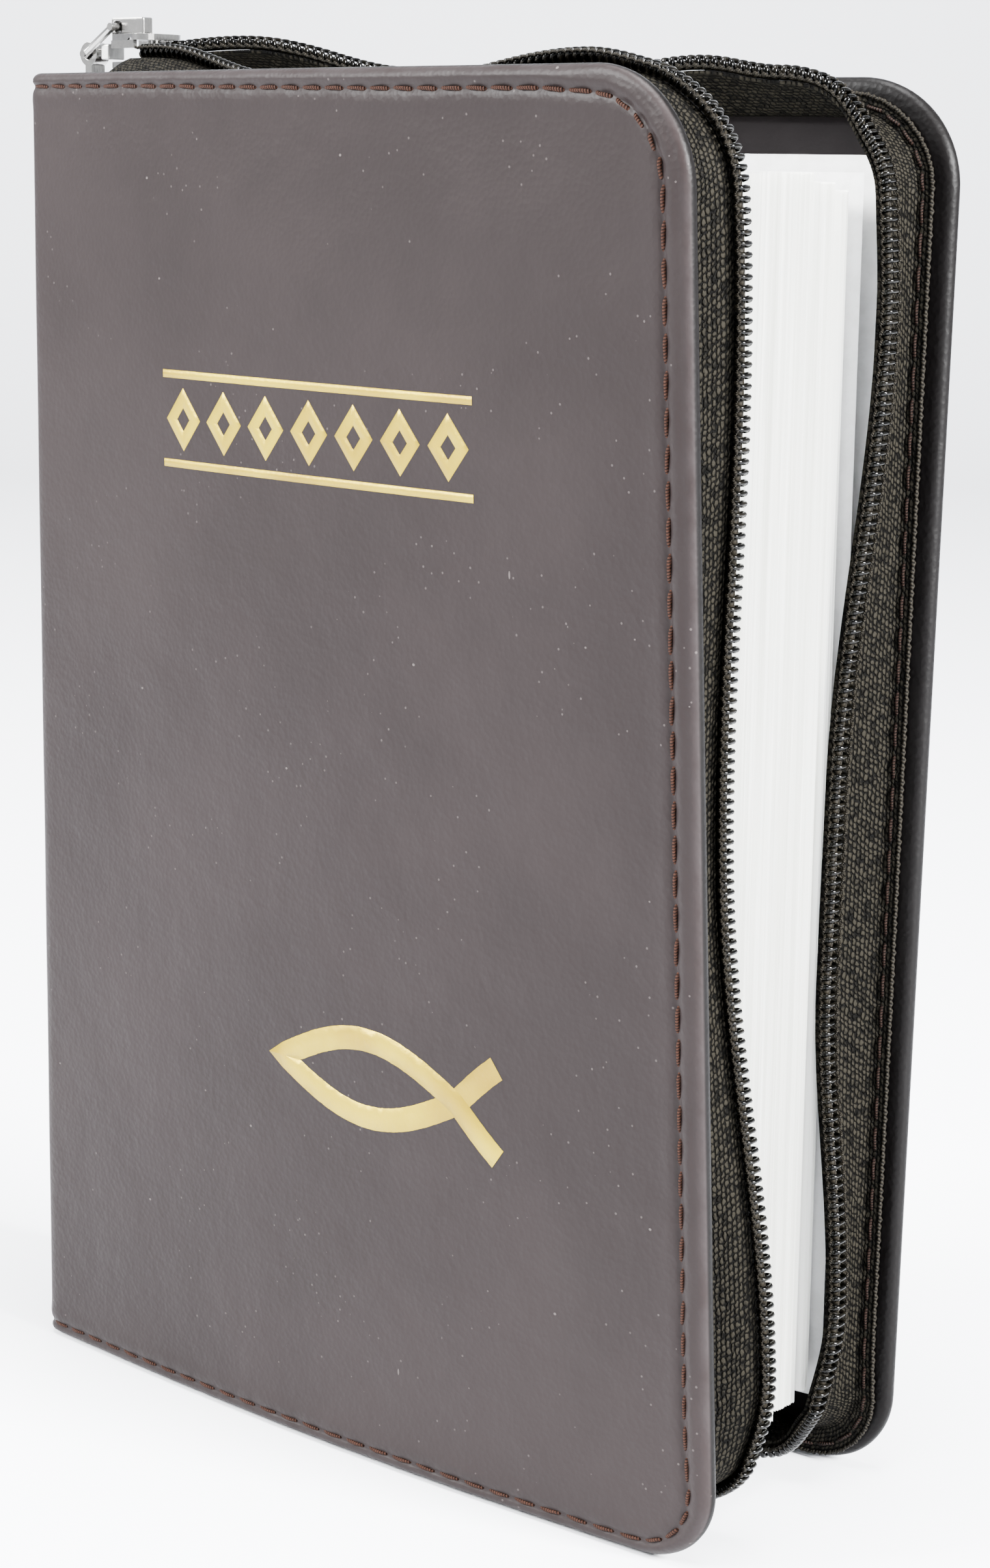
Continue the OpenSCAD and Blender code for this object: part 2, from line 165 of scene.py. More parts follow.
class Recipe:
    """Builds one node material around a Principled shader."""

    def __init__(self, name: str) -> None:
        """Makes an empty material with its shader and output."""
        self.material = bpy.data.materials.new(name)
        self.material.use_nodes = True
        self.tree = self.material.node_tree
        self.shader = self.tree.nodes["Principled BSDF"]

    def node(self, kind: str, settings: dict[str, Any], inputs: dict[Any, Any], output: Any = 0) -> Wire:
        """Adds a node of any kind.

        Args:
            kind: the node's type name.
            settings: its properties, set before its sockets.
            inputs: its sockets by name or number, wires or constants.
            output: the output socket's name or number.

        Returns:
            The chosen output.
        """
        made = self.tree.nodes.new(kind)
        for key, value in settings.items():
            setattr(made, key, value)
        for key, value in inputs.items():
            self.join(made.inputs[key], value)
        return Wire(self, made.outputs[output])

    def join(self, socket: bpy.types.NodeSocket, value: Any) -> None:
        """Links a wire to a socket, or sets the socket to a constant."""
        if isinstance(value, Wire):
            self.tree.links.new(value.socket, socket)
        elif isinstance(value, tuple) and len(value) == 3 and socket.type == "RGBA":
            socket.default_value = (*value, 1.0)
        else:
            socket.default_value = value

    def finish(self, **inputs: Any) -> bpy.types.Material:
        """Sets the shader's sockets, named with underscores for spaces, and gives the material."""
        for key, value in inputs.items():
            self.join(self.shader.inputs[key.replace("_", " ")], value)
        return self.material

    def place(self) -> Wire:
        """Object coordinates, in metres."""
        return self.node("ShaderNodeTexCoord", {}, {}, "Object")

    def strip(self) -> Wire:
        """Coordinates laid along a strip by the mesh, in metres."""
        return self.node("ShaderNodeUVMap", {"uv_map": "strip"}, {}, "UV")

    def mark(self) -> Wire:
        """The number the mesh stores at each point."""
        return self.node("ShaderNodeAttribute", {"attribute_name": "mark"}, {}, "Fac")

    def part(self, vector: Wire, axis: str) -> Wire:
        """One axis of a vector."""
        return self.node("ShaderNodeSeparateXYZ", {}, {0: vector}, axis)

    def stretch(self, vector: Wire, scale: Point) -> Wire:
        """A vector scaled on each axis."""
        return self.node("ShaderNodeVectorMath", {"operation": "MULTIPLY"}, {0: vector, 1: scale})

    def noise(self, vector: Wire, scale: float, detail: float = 2.0, rough: float = 0.5) -> Wire:
        """Soft noise around one half."""
        return self.node(
            "ShaderNodeTexNoise", {},
            {"Vector": vector, "Scale": scale, "Detail": detail, "Roughness": rough}, "Fac",
        )

    def cells(self, vector: Wire, scale: float) -> Wire:
        """Cell pattern: the distance to the nearest seed."""
        return self.node("ShaderNodeTexVoronoi", {}, {"Vector": vector, "Scale": scale}, "Distance")

    def blend(self, share: Any, first: Any, second: Any) -> Wire:
        """A colour between two colours."""
        return self.node(
            "ShaderNodeMix", {"data_type": "RGBA"}, {0: share, 6: first, 7: second}, 2
        )

    def relief(self, height: Wire, distance: float, under: Wire | None = None) -> Wire:
        """A normal bent by a height in 0..1 that stands for a distance in metres."""
        inputs: dict[Any, Any] = {"Height": height, "Distance": distance, "Strength": 1.0}
        if under is not None:
            inputs["Normal"] = under
        return self.node("ShaderNodeBump", {}, inputs, "Normal")


# ------------------------------------------------------------------ finishes


@dataclass(frozen=True)
class Leatherette:
    """Matte brown leatherette with a fine grain, soft mottling, rubbed edges lightened partly by wear and
    partly as a painted highlight, a little dust, and painted shade on the turned-in side.
    """

    base: Colour = (0.0104, 0.0078, 0.0077)
    deep: Colour = (0.0080, 0.0059, 0.0058)
    # Lighter tone for the rolled rim: partly wear, partly a painted highlight.
    worn: Colour = (0.0150, 0.0125, 0.0128)
    # Painted shade: near black for the turned-in leather, which stands in shadow inside the case.
    inner: Colour = (0.0007, 0.0005, 0.0005)
    dust: Colour = (0.070, 0.060, 0.057)

    def make(self) -> bpy.types.Material:
        """The material for the outer skin.

        Returns:
            The material. The mesh's mark is the distance in from the edge in mm, and below nought on the
            turned-in side, which is painted near black as painted shade.
        """
        r = Recipe("leatherette")
        at = r.place()
        cloud = r.noise(at, 26.0, 4.0, 0.55)
        fine = r.noise(at, 900.0, 3.0, 0.6)
        colour = r.blend(cloud.band(0.35, 0.7), self.deep, self.base)
        inset = r.mark()
        # Rim lightening: partly wear, partly a painted highlight along the rolled edge.
        rim = (1.0 - inset.size().band(0.2, 1.6)) * r.noise(at, 160.0, 3.0, 0.6).band(0.3, 0.7)
        colour = r.blend(rim * 0.6, colour, self.worn)
        speck = (r.cells(at, 620.0) < 0.09) * (r.noise(at, 75.0, 0.0) > 0.52)
        grit = (r.cells(r.stretch(at, (1.0, 1.0, 1.3)), 150.0) < 0.03) * (r.noise(at, 40.0, 0.0) > 0.45)
        lint = (r.cells(r.stretch(at, (1.0, 1.0, 0.3)), 130.0) < 0.020) * (r.noise(at, 31.0, 0.0) > 0.48)
        colour = r.blend((speck * 0.42 + grit * 0.6 + lint * 0.55).band(0.0, 1.0), colour, self.dust)
        # Painted shade: the turned-in side, where the mark is below nought, is darkened to the near-black
        # inner colour.
        turned = (0.0 - inset).band(0.1, 0.9)
        colour = r.blend(turned, colour, self.inner)
        pores = r.cells(at, 1500.0)
        grain = pores * 0.5 + fine * 0.5
        normal = r.relief(grain, 0.00007, r.relief(r.noise(at, 120.0, 3.0), 0.0003))
        rough = cloud * 0.12 + fine * 0.10 + 0.36
        return r.finish(
            Base_Color=colour, Roughness=rough, Normal=normal, Specular_IOR_Level=0.055,
        )


@dataclass(frozen=True)
class Lining:
    """Smooth dark brown lining with a soft gloss."""

    base: Colour = (0.0036, 0.0029, 0.0032)
    light: Colour = (0.0060, 0.0050, 0.0054)

    def make(self) -> bpy.types.Material:
        """The material for the inner faces of the case."""
        r = Recipe("lining")
        at = r.place()
        cloud = r.noise(at, 60.0, 3.0)
        grain = r.noise(at, 1400.0, 2.0, 0.6)
        return r.finish(
            Base_Color=r.blend(cloud.band(0.3, 0.7), self.base, self.light),
            Roughness=cloud * 0.15 + 0.42,
            Normal=r.relief(grain, 0.00003, r.relief(cloud, 0.0004)), Specular_IOR_Level=0.03,
        )


@dataclass(frozen=True)
class Twill:
    """Woven zip tape: rows of small slanted yarns, with stray lighter fibres."""

    dark: Colour = (0.0003, 0.00026, 0.0002)
    light: Colour = (0.0064, 0.0057, 0.0042)
    across: float = 0.00055
    along: float = 0.00082

    def make(self) -> bpy.types.Material:
        """The material for a strip whose map runs along and across it in metres."""
        r = Recipe("zip_twill")
        at = r.strip()
        jitter = r.noise(r.stretch(at, (520.0, 620.0, 1.0)), 1.0, 3.0, 0.6)
        v = r.part(at, "Y") / self.across + jitter * 1.3
        column = v.floor()
        u = r.part(at, "X") / self.along + column * 0.5 + jitter * 1.6
        off_v = (v - column - 0.5) * 2.0
        off_u = (u - u.floor() - 0.5 + off_v * 0.16) * 2.0
        yarn = 1.0 - (off_v * off_v * 0.75 + off_u * off_u * 0.8).band(0.1, 1.0)
        fuzz = r.noise(r.stretch(at, (1500.0, 3600.0, 1.0)), 1.0, 3.0, 0.7)
        tone = r.noise(r.stretch(at, (900.0, 900.0, 1.0)), 1.0, 1.0)
        tint = (yarn * (tone.band(0.25, 0.75) * 1.1 + fuzz * 0.7 - 0.15)).band(0.05, 0.9)
        return r.finish(
            Base_Color=r.blend(tint, self.dark, self.light),
            Roughness=0.72 - fuzz * 0.2,
            Normal=r.relief(yarn * 0.85 + fuzz * 0.25, 0.00026),
            Specular_IOR_Level=0.02,
        )


@dataclass(frozen=True)
class Nylon:
    """Glossy black nylon monofilament with faint drawing lines."""

    base: Colour = (0.0002, 0.0002, 0.00015)
    light: Colour = (0.0022, 0.0019, 0.0013)

    def make(self) -> bpy.types.Material:
        """The material for the zip's coils."""
        r = Recipe("coil_nylon")
        at = r.place()
        spots = r.noise(at, 700.0, 2.0)
        return r.finish(
            Base_Color=r.blend(spots.band(0.4, 0.75), self.base, self.light),
            Roughness=spots * 0.12 + 0.08,
            Normal=r.relief(r.noise(at, 2600.0, 1.0), 0.00002),
            Specular_IOR_Level=0.10,
        )


@dataclass(frozen=True)
class Thread:
    """Twisted polyester thread."""

    name: str = "stitch_thread"
    dark: Colour = (0.0030, 0.0013, 0.0009)
    light: Colour = (0.0260, 0.0105, 0.0065)
    ply: float = 0.00034

    def make(self) -> bpy.types.Material:
        """The material for a strip whose map runs along and round each thread."""
        r = Recipe(self.name)
        at = r.strip()
        turn = r.part(at, "X") / self.ply + r.part(at, "Y")
        ply = (turn * math.pi).sine().size()
        fuzz = r.noise(r.place(), 1900.0, 2.0, 0.7)
        tint = (ply * 0.7 + fuzz * 0.6 - 0.2).band(0.0, 1.0)
        return r.finish(
            Base_Color=r.blend(tint, self.dark, self.light),
            Roughness=0.62, Normal=r.relief(ply, 0.00012), Specular_IOR_Level=0.05,
        )


@dataclass(frozen=True)
class PageStack:
    """The cut edges of thin pages: fine lines along Z, a little uneven."""

    base: Colour = (0.94, 0.945, 0.915)
    line: Colour = (0.74, 0.745, 0.70)

    def make(self) -> bpy.types.Material:
        """The material for every group of pages."""
        r = Recipe("page_edges")
        at = r.place()
        lines = r.noise(r.stretch(at, (300.0, 5200.0, 9.0)), 1.0, 3.0, 0.65)
        broad = r.noise(r.stretch(at, (20.0, 700.0, 6.0)), 1.0, 2.0)
        shade = lines.band(0.42, 0.62) * 0.6 + broad.band(0.35, 0.6) * 0.4
        return r.finish(
            Base_Color=r.blend(shade, self.line, self.base),
            Roughness=0.82, Normal=r.relief(lines, 0.00005),
            Specular_IOR_Level=0.25,
        )


@dataclass(frozen=True)
class Paper:
    """Plain smooth paper with a faint fibre."""

    name: str = "endpaper"
    base: Colour = (0.84, 0.845, 0.84)
    tone: Colour = (0.76, 0.765, 0.755)

    def make(self) -> bpy.types.Material:
        """The material for a sheet of paper or card."""
        r = Recipe(self.name)
        at = r.place()
        fibre = r.noise(at, 420.0, 4.0, 0.65)
        return r.finish(
            Base_Color=r.blend(fibre.band(0.35, 0.6), self.tone, self.base),
            Roughness=0.85, Normal=r.relief(fibre, 0.00004), Specular_IOR_Level=0.25,
        )


@dataclass(frozen=True)
class Foil:
    """Hot-stamped gold foil, slightly uneven."""

    base: Colour = (0.17, 0.112, 0.0)
    pale: Colour = (0.27, 0.200, 0.0)

    def make(self) -> bpy.types.Material:
        """The material for the foil ornament and the fish."""
        r = Recipe("gold_foil")
        at = r.place()
        rub = r.noise(at, 380.0, 4.0, 0.6)
        soft = r.noise(at, 70.0, 2.0)
        return r.finish(
            Base_Color=r.blend(soft.band(0.3, 0.7), self.base, self.pale),
            Metallic=0.35 + rub * 0.2, Roughness=rub * 0.25 + 0.30, Specular_IOR_Level=0.2,
            Normal=r.relief(r.noise(at, 1500.0, 2.0), 0.00005),
        )


@dataclass(frozen=True)
class Metal:
    """Plated or pressed metal with fine handling marks."""

    name: str
    base: Colour
    rough: float

    def make(self) -> bpy.types.Material:
        """The material for the slider, the pull and the stops."""
        r = Recipe(self.name)
        at = r.place()
        marks = r.noise(r.stretch(at, (900.0, 2600.0, 900.0)), 1.0, 3.0, 0.6)
        dull = tuple(0.72 * c for c in self.base)
        return r.finish(
            Base_Color=r.blend(marks.band(0.3, 0.8), self.base, dull),
            Metallic=1.0, Roughness=marks * 0.16 + self.rough,
            Normal=r.relief(marks, 0.00001),
        )


@dataclass(frozen=True)
class Cloth:
    """Plain woven cotton: the gauze on the back of the pages, and the head and tail bands."""

    name: str
    base: Colour
    stripe: Colour
    pitch: float = 0.0008

    def make(self) -> bpy.types.Material:
        """The material, with stripes across Y."""
        r = Recipe(self.name)
        at = r.place()
        weft = (r.part(at, "Y") * (math.pi / self.pitch)).sine().size()
        warp = (r.part(at, "Z") * (math.pi / self.pitch)).sine().size()
        return r.finish(
            Base_Color=r.blend(weft.band(0.2, 0.7), self.stripe, self.base),
            Roughness=0.85, Normal=r.relief(weft * 0.5 + warp * 0.5, 0.0001),
        )


@dataclass(frozen=True)
class Floor:
    """Plain pale studio floor."""

    base: Colour = (0.60, 0.61, 0.635)

    def make(self) -> bpy.types.Material:
        """The material for the floor sweep."""
        r = Recipe("studio_floor")
        soft = r.noise(r.place(), 3.0, 2.0)
        tone = tuple(0.97 * c for c in self.base)
        return r.finish(
            Base_Color=r.blend(soft, tone, self.base), Roughness=0.55, Specular_IOR_Level=0.3,
        )


# ------------------------------------------------------------------- meshes


class Sketch:
    """Collects points and faces for one piece, with a strip map and a mark at each point."""

    def __init__(self) -> None:
        """Starts empty."""
        self.points: list[Point] = []
        self.faces: list[tuple[int, ...]] = []
        self.strip: list[tuple[float, float]] = []
        self.marks: list[float] = []

    def rows(
        self,
        rows: Sequence[Sequence[Point]],
        ring: bool = False,
        caps: bool = False,
        strip: Callable[[int, int], tuple[float, float]] | None = None,
        marks: Sequence[float] | None = None,
    ) -> None:
        """Adds a sheet of quads, or a tube when each row is a ring.

        Args:
            rows: rows of points, all of one length.
            ring: whether each row closes on itself.
            caps: whether the first and last rows are closed with a face.
            strip: gives the strip map for a row and a column.
            marks: one mark for each row.
        """
        first = len(self.points)
        width = len(rows[0])
        for i, row in enumerate(rows):
            for j, point in enumerate(row):
                self.points.append(tuple(point))
                self.strip.append(strip(i, j) if strip else (0.0, 0.0))
                self.marks.append(marks[i] if marks else 0.0)
        for i in range(len(rows) - 1):
            a = first + i * width
            for j in range(width if ring else width - 1):
                k = (j + 1) % width
                self.faces.append((a + j, a + k, a + width + k, a + width + j))
        if caps:
            last = first + (len(rows) - 1) * width
            self.faces.append(tuple(first + j for j in reversed(range(width))))
            self.faces.append(tuple(last + j for j in range(width)))

    def build(self, name: str, material: bpy.types.Material, slot: str, smooth: bool = True) -> Any:
        """Makes the mesh object.

        Args:
            name: the piece's name.
            material: its finish.
            slot: not used.
            smooth: whether faces are shaded smooth.

        Returns:
            The object, not yet riding on a body.
        """
        mesh = bpy.data.meshes.new(name)
        mesh.from_pydata(self.points, [], self.faces)
        layer = mesh.uv_layers.new(name="strip")
        for loop in mesh.loops:
            layer.data[loop.index].uv = self.strip[loop.vertex_index]
        mark = mesh.attributes.new("mark", "FLOAT", "POINT")
        mark.data.foreach_set("value", self.marks)
        mesh.polygons.foreach_set("use_smooth", [smooth] * len(mesh.polygons))
        mesh.materials.append(material)
        mesh.validate()
        piece = bpy.data.objects.new(name, mesh)
        bpy.context.scene.collection.objects.link(piece)
        LOG.info("%s: %d faces", name, len(self.faces))
        return piece


def tidy(piece: Any, bevel: float = 0.0) -> None:
    """Merges doubled points, turns faces outwards and, if asked, rounds the edges.

    Args:
        piece: the mesh object.
        bevel: the edge radius in metres, or nought.
    """
    work = bmesh.new()
    work.from_mesh(piece.data)
    bmesh.ops.remove_doubles(work, verts=work.verts, dist=1e-7)
    if bevel > 0.0:
        sharp = [e for e in work.edges if e.is_manifold and e.calc_face_angle(0.0) > 0.6]
        bmesh.ops.bevel(
            work, geom=sharp, offset=bevel, segments=3, profile=0.6, affect="EDGES", clamp_overlap=True
        )
    bmesh.ops.recalc_face_normals(work, faces=work.faces)
    work.to_mesh(piece.data)
    work.free()


def ease(t: float) -> float:
    """Cosine ease from 0 to 1."""
    return (1.0 - math.cos(math.pi * t)) / 2.0


def between(a: float, b: float, t: float) -> float:
    """The value a share t of the way from a to b."""
    return a + (b - a) * t


def wave(at: float, knots: Sequence[tuple[float, float]]) -> float:
    """Smooth value through given knots.

    Args:
        at: the distance along the outline.
        knots: pairs of distance and value, in order.

    Returns:
        The value, held flat before the first knot and after the last.
    """
    if at <= knots[0][0]:
        return knots[0][1]
    for (s0, v0), (s1, v1) in zip(knots, knots[1:]):
        if at <= s1:
            return between(v0, v1, ease((at - s0) / (s1 - s0)))
    return knots[-1][1]


# -------------------------------------------------------------------- shape


@dataclass(frozen=True)
class Splay:
    """How far a cover has sprung out at its fore edge, in mm, and its bow and zip waves."""

    head: float
    tail: float
    bow: float
    out: tuple[tuple[float, float], ...]
    rise: tuple[tuple[float, float], ...]


FRONT_SPLAY = Splay(
    head=15.2, tail=3.2, bow=2.6,
    out=((0, 4), (12, 4), (40, 0), (62, -1), (92, 2.2), (110, -0.4), (130, 0.2), (197, -3.2),
         (257, 2), (280, -3.3), (305, -2.6)),
    rise=((0, 12.2), (12, 12), (38, 9.6), (60, 8.6)),
)
BACK_SPLAY = Splay(
    head=10.4, tail=5.9, bow=0.0,
    out=((0, 4), (20, 5.2), (45, 1.2), (62, -1), (86, 2.4), (97, 1.2), (114, -2.9), (137, -1.6),
         (192, -5.2), (215, -5.2), (257, -1.8), (275, -4.6), (293, -1), (310, -2.6)),
    rise=((0, 12.2), (12, 11.6), (34, 9.0), (60, 8.6)),
)


class CaseShape:
    """The curved case as packed: every place on it, worked in mm about the middle of the covers."""

    cover_t = 2.44
    head_r = 13.0
    tail_r = 10.0
    ring_depth = 10.0
    fold_r = 2.0
    fold_knots = ((0, 1.4), (34, 4.3))
    stitch_knots = ((0, 1.7), (90, 2.5), (115, 3.6), (260, 3.3), (290, 1.7), (389, 1.5))

    def __init__(self) -> None:
        """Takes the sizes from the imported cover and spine."""
        low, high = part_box("front_cover_skin")
        spine_low, spine_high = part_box("spine_skin")
        self.height = (high[2] - low[2]) / MM
        self.width = (high[0] - low[0]) / MM
        self.x_mid = (low[0] + high[0]) / 2 / MM
        self.y_mid = (spine_low[1] + spine_high[1]) / 2 / MM
        self.half_t = (spine_high[1] - spine_low[1]) / 2 / MM + self.cover_t + 0.15
        self.x_spine = -self.width / 2
        self.x_fore = self.width / 2
        self.s_arc = self.width - self.head_r
        self.s_fore = self.s_arc + self.head_r * math.pi / 2
        self.s_low_arc = self.s_fore + self.height - self.head_r - self.tail_r
        self.s_tail = self.s_low_arc + self.tail_r * math.pi / 2
        self.s_end = self.s_tail + self.width - self.tail_r

    def world(self, x: float, y: float, z: float) -> Point:
        """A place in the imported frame, in metres."""
        return ((x + self.x_mid) * MM, (y + self.y_mid) * MM, z * MM)

    def splay(self, side: Side) -> Splay:
        """The splay of a cover."""
        return FRONT_SPLAY if side is Side.FRONT else BACK_SPLAY

    def face_y(self, side: Side, x: float, z: float, depth: float) -> float:
        """Y of the layer a given depth under a cover's outer face."""
        splay = self.splay(side)
        share = (x - self.x_spine) / self.width
        up = z / self.height
        swell = splay.bow * (1 - 0.6 * up) * math.sin(math.pi * min(max(share, 0.0), 1.0))
        spread = between(splay.tail, splay.head, up) * max(share, 0.0)
        return side.value * (self.half_t + spread + swell - depth)

    def on_face(self, side: Side, x: float, z: float, depth: float) -> Point:
        """The place on a cover's layer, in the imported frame."""
        return self.world(x, self.face_y(side, x, z, depth), z)

    def round_spine(self, side: Side, x: float, z: float, depth: float) -> Point:
        """A place on the skin, where x below the fold carries on round it to the middle of the spine.

        Args:
            side: the cover.
            x: the distance along the skin; x_spine is the middle of the fold.
            z: the height.
            depth: how far under the outer face.

        Returns:
            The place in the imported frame.
        """
        r = self.fold_r
        quarter = r * math.pi / 4
        along = x - self.x_spine
        if along >= quarter:
            shift = 1 - ease(min(1.0, (along - quarter) / 12.0))
            at_x = self.x_spine + along + (r - quarter) * shift
            return self.on_face(side, at_x, z, depth)
        reach = max(self.half_t - r, 0.0)
        if along <= -quarter:
            y = max(reach + along + quarter, 0.0)
            return self.world(self.x_spine + depth, side.value * y, z)
        turn = (along + quarter) / r
        radius = r - depth
        rise = self.face_y(side, self.x_spine + r, z, 0.0) * side.value - self.half_t
        lift = rise * (turn / (math.pi / 2)) ** 2
        x_at = self.x_spine + r - radius * math.cos(turn)
        return self.world(x_at, side.value * (reach + radius * math.sin(turn) + lift), z)

    def outline(self, s: float, inset: float) -> tuple[float, float, float, float]:
        """A place on the cover's outline moved inwards, and its outward direction.

        Args:
            s: the distance along the outline from the head corner at the spine.
            inset: how far inwards.

        Returns:
            x, z and the outward x and z.
        """
        if s < self.s_arc:
            turn, x, z, r = 0.0, self.x_spine + s, self.height, 0.0
        elif s < self.s_fore:
            r = self.head_r
            turn, x, z = (s - self.s_arc) / r, self.x_fore - r, self.height - r
        elif s < self.s_low_arc:
            turn, x, z, r = math.pi / 2, self.x_fore, self.height - self.head_r - (s - self.s_fore), 0.0
        elif s < self.s_tail:
            r = self.tail_r
            turn, x, z = math.pi / 2 + (s - self.s_low_arc) / r, self.x_fore - r, r
        else:
            turn, x, z, r = math.pi, self.x_fore - self.tail_r - (s - self.s_tail), 0.0, 0.0
        out_x, out_z = math.sin(turn), math.cos(turn)
        return x + (r - inset) * out_x, z + (r - inset) * out_z, out_x, out_z

    def ring(self, s: float, inset: float) -> tuple[float, float]:
        """As outline, but with corners that shrink to a point at the full ring depth.

        Args:
            s: the distance along the outline, which may run past either end.
            inset: how far inwards, from nought to the ring depth.

        Returns:
            x and z.
        """
        left = 1 - max(inset, 0.0) / self.ring_depth
        head, tail = self.head_r * left, self.tail_r * left
        top, side, low = self.height - inset, self.x_fore - inset, inset
        if s < 0:
            return self.x_spine + s, top
        if s < self.s_arc:
            return between(self.x_spine, side - head, s / self.s_arc), top
        if s < self.s_fore:
            turn = (s - self.s_arc) / self.head_r
            return side - head + head * math.sin(turn), top - head + head * math.cos(turn)
        if s < self.s_low_arc:
            return side, between(top - head, low + tail, (s - self.s_fore) / (self.s_low_arc - self.s_fore))
        if s < self.s_tail:
            turn = (s - self.s_low_arc) / self.tail_r
            return side - tail + tail * math.cos(turn), low + tail - tail * math.sin(turn)
        if s < self.s_end:
            return between(side - tail, self.x_spine, (s - self.s_tail) / (self.s_end - self.s_tail)), low
        return self.x_spine - (s - self.s_end), low

    def edge(self, side: Side, s: float, inset: float, depth: float) -> Point:
        """A place near the outline at an inset and depth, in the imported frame."""
        x, z, _, _ = self.outline(s, inset)
        return self.on_face(side, x, z, depth)

    def skin_edge(self, side: Side, s: float, inset: float, depth: float) -> Point:
        """As edge, but carrying on round the fold where s runs past either end."""
        x, z, _, _ = self.outline(s, inset)
        return self.round_spine(side, x, z, depth)

    def coil_out(self, side: Side, s: float) -> float:
        """How far the coil's outer face stands out of the outline."""
        return wave(s, self.splay(side).out)

    def coil_rise(self, side: Side, s: float) -> float:
        """How far the tape's free edge stands over the lining."""
        return wave(s, self.splay(side).rise)

    def fold_inset(self, s: float) -> float:
        """Where the tape turns up from its sewn part."""
        return wave(s, self.fold_knots)

    def stitch_inset(self, s: float) -> float:
        """How far in from the outline the stitches run."""
        return wave(s, self.stitch_knots)

    def stations(self, counts: tuple[int, int, int, int], past: float) -> list[float]:
        """Distances along the outline, carried past both ends.

        Args:
            counts: how many steps past the fold, along the head or tail, round a corner, and down the
                fore edge.
            past: how far to carry on round the fold.

        Returns:
            The distances, with every change of run hit exactly.
        """
        fold, run, arc, fore = counts
        marks = [-past, 0.0, self.s_arc, self.s_fore, self.s_low_arc, self.s_tail]
        marks += [self.s_end, self.s_end + past]
        found = [marks[0]]
        for a, b, count in zip(marks, marks[1:], (fold, run, arc, fore, arc, run, fold)):
            found += [between(a, b, (i + 1) / count) for i in range(count)]
        return found


# ------------------------------------------------------------------- pieces


@dataclass
class Skin:
    """One half of the outer leatherette: from the middle of the spine, round the fold, over a cover."""

    shape: CaseShape
    side: Side
    edge_r: float = 1.1
    puff: float = 0.20
    groove: float = 0.26
    stitch_pitch: float = 3.85
    counts: tuple[int, int, int, int] = (16, 106, 22, 150)

    def profile(self) -> list[tuple[float, float]]:
        """The rolled edge and the outer face, as pairs of inset and depth, from the inside out."""
        r = self.edge_r
        inner = [(3.6, 2 * r), (2.4, 2 * r), (1.6, 2 * r + 0.02)]
        roll = []
        for i in range(9):
            turn = math.pi / 2 - math.pi * i / 8
            roll.append((r * (1 - math.cos(turn)), r + r * math.sin(turn)))
        face = [(1.3 + 0.2 * i, 0.0) for i in range(20)]
        face += [(inset, 0.0) for inset in (5.6, 6.4, 7.4, 8.6, self.shape.ring_depth)]
        return inner + roll + face

    def lift(self, inset: float, s: float) -> float:
        """How far the face is pulled in or puffed out, positive inwards.

        Args:
            inset: the distance in from the outline.
            s: the distance along it.

        Returns:
            The change of depth in mm.
        """
        off = inset - self.shape.stitch_inset(s)
        bulge = math.exp(-(((off + 1.2) / 0.8) ** 2)) + 0.5 * math.exp(-(((off - 1.4) / 0.9) ** 2))
        sink = math.exp(-((off / 0.42) ** 2))
        pull = 0.5 + 0.5 * math.cos(2 * math.pi * s / self.stitch_pitch)
        pucker = math.exp(-((off / 1.3) ** 2)) * 0.08
        slow = 0.05 * math.sin(s * 0.23 + self.side.value) + 0.04 * math.sin(s * 0.61)
        return self.groove * sink * (0.7 + 0.3 * pull) - (self.puff + slow) * bulge + pucker * pull

    def hollow(self, x: float, z: float) -> float:
        """The soft unevenness of the broad face, in mm inwards."""
        a = math.sin(x * 0.071 + 1.3) * math.sin(z * 0.053 + 0.4)
        b = math.sin(x * 0.16 + z * 0.09) * math.sin(z * 0.13 - x * 0.05)
        return 0.05 * a + 0.025 * b

    def build(self, material: bpy.types.Material) -> Any:
        """Makes the half, from the middle of the spine round the fold to its cover."""
        shape = self.shape
        past = shape.half_t - shape.fold_r + shape.fold_r * math.pi / 4
        stations = shape.stations(self.counts, past)
        sketch = Sketch()
        rows, marks = [], []
        for inset, depth in self.profile():
            row = []
            for s in stations:
                x, z = shape.ring(s, inset)
                share = 1.0 if depth == 0.0 else max(0.0, 1 - depth / self.edge_r) * 0.5
                extra = self.lift(inset, s) * share + min(1.0, inset / 6.0) * self.hollow(x, z)
                row.append(shape.round_spine(self.side, x, z, depth + extra))
            rows.append(row)
            # Below nought on the turned-in side, which the leatherette darkens as painted shade.
            marks.append(inset if depth < self.edge_r * 0.5 else -depth)
        if self.side is Side.BACK:
            rows = [list(reversed(row)) for row in rows]
        sketch.rows(rows, marks=marks)
        fold, run, arc, fore = self.counts
        first = fold + run + arc
        broad = []
        for s_z in stations[first:first + fore + 1]:
            z = shape.ring(s_z, shape.ring_depth)[1]
            row = []
            for s_x in stations[:fold + run + 1]:
                x = shape.ring(s_x, shape.ring_depth)[0]
                row.append(shape.round_spine(self.side, x, z, self.hollow(x, z)))
            broad.append(row if self.side is Side.FRONT else list(reversed(row)))
        sketch.rows(broad, marks=[shape.ring_depth] * len(broad))
        piece = sketch.build(f"{self.side.word}_leatherette", material, "leatherette")
        tidy(piece)
        start = shape.world(shape.x_spine, self.side.value * (shape.half_t - 2.5), shape.height / 2)
        end = shape.world(shape.x_spine + 3.0, self.side.value * shape.half_t, shape.height / 2)
        self.side.body
        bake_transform(piece)
        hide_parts(f"{self.side.word}_cover_skin", "spine_skin")
        return piece


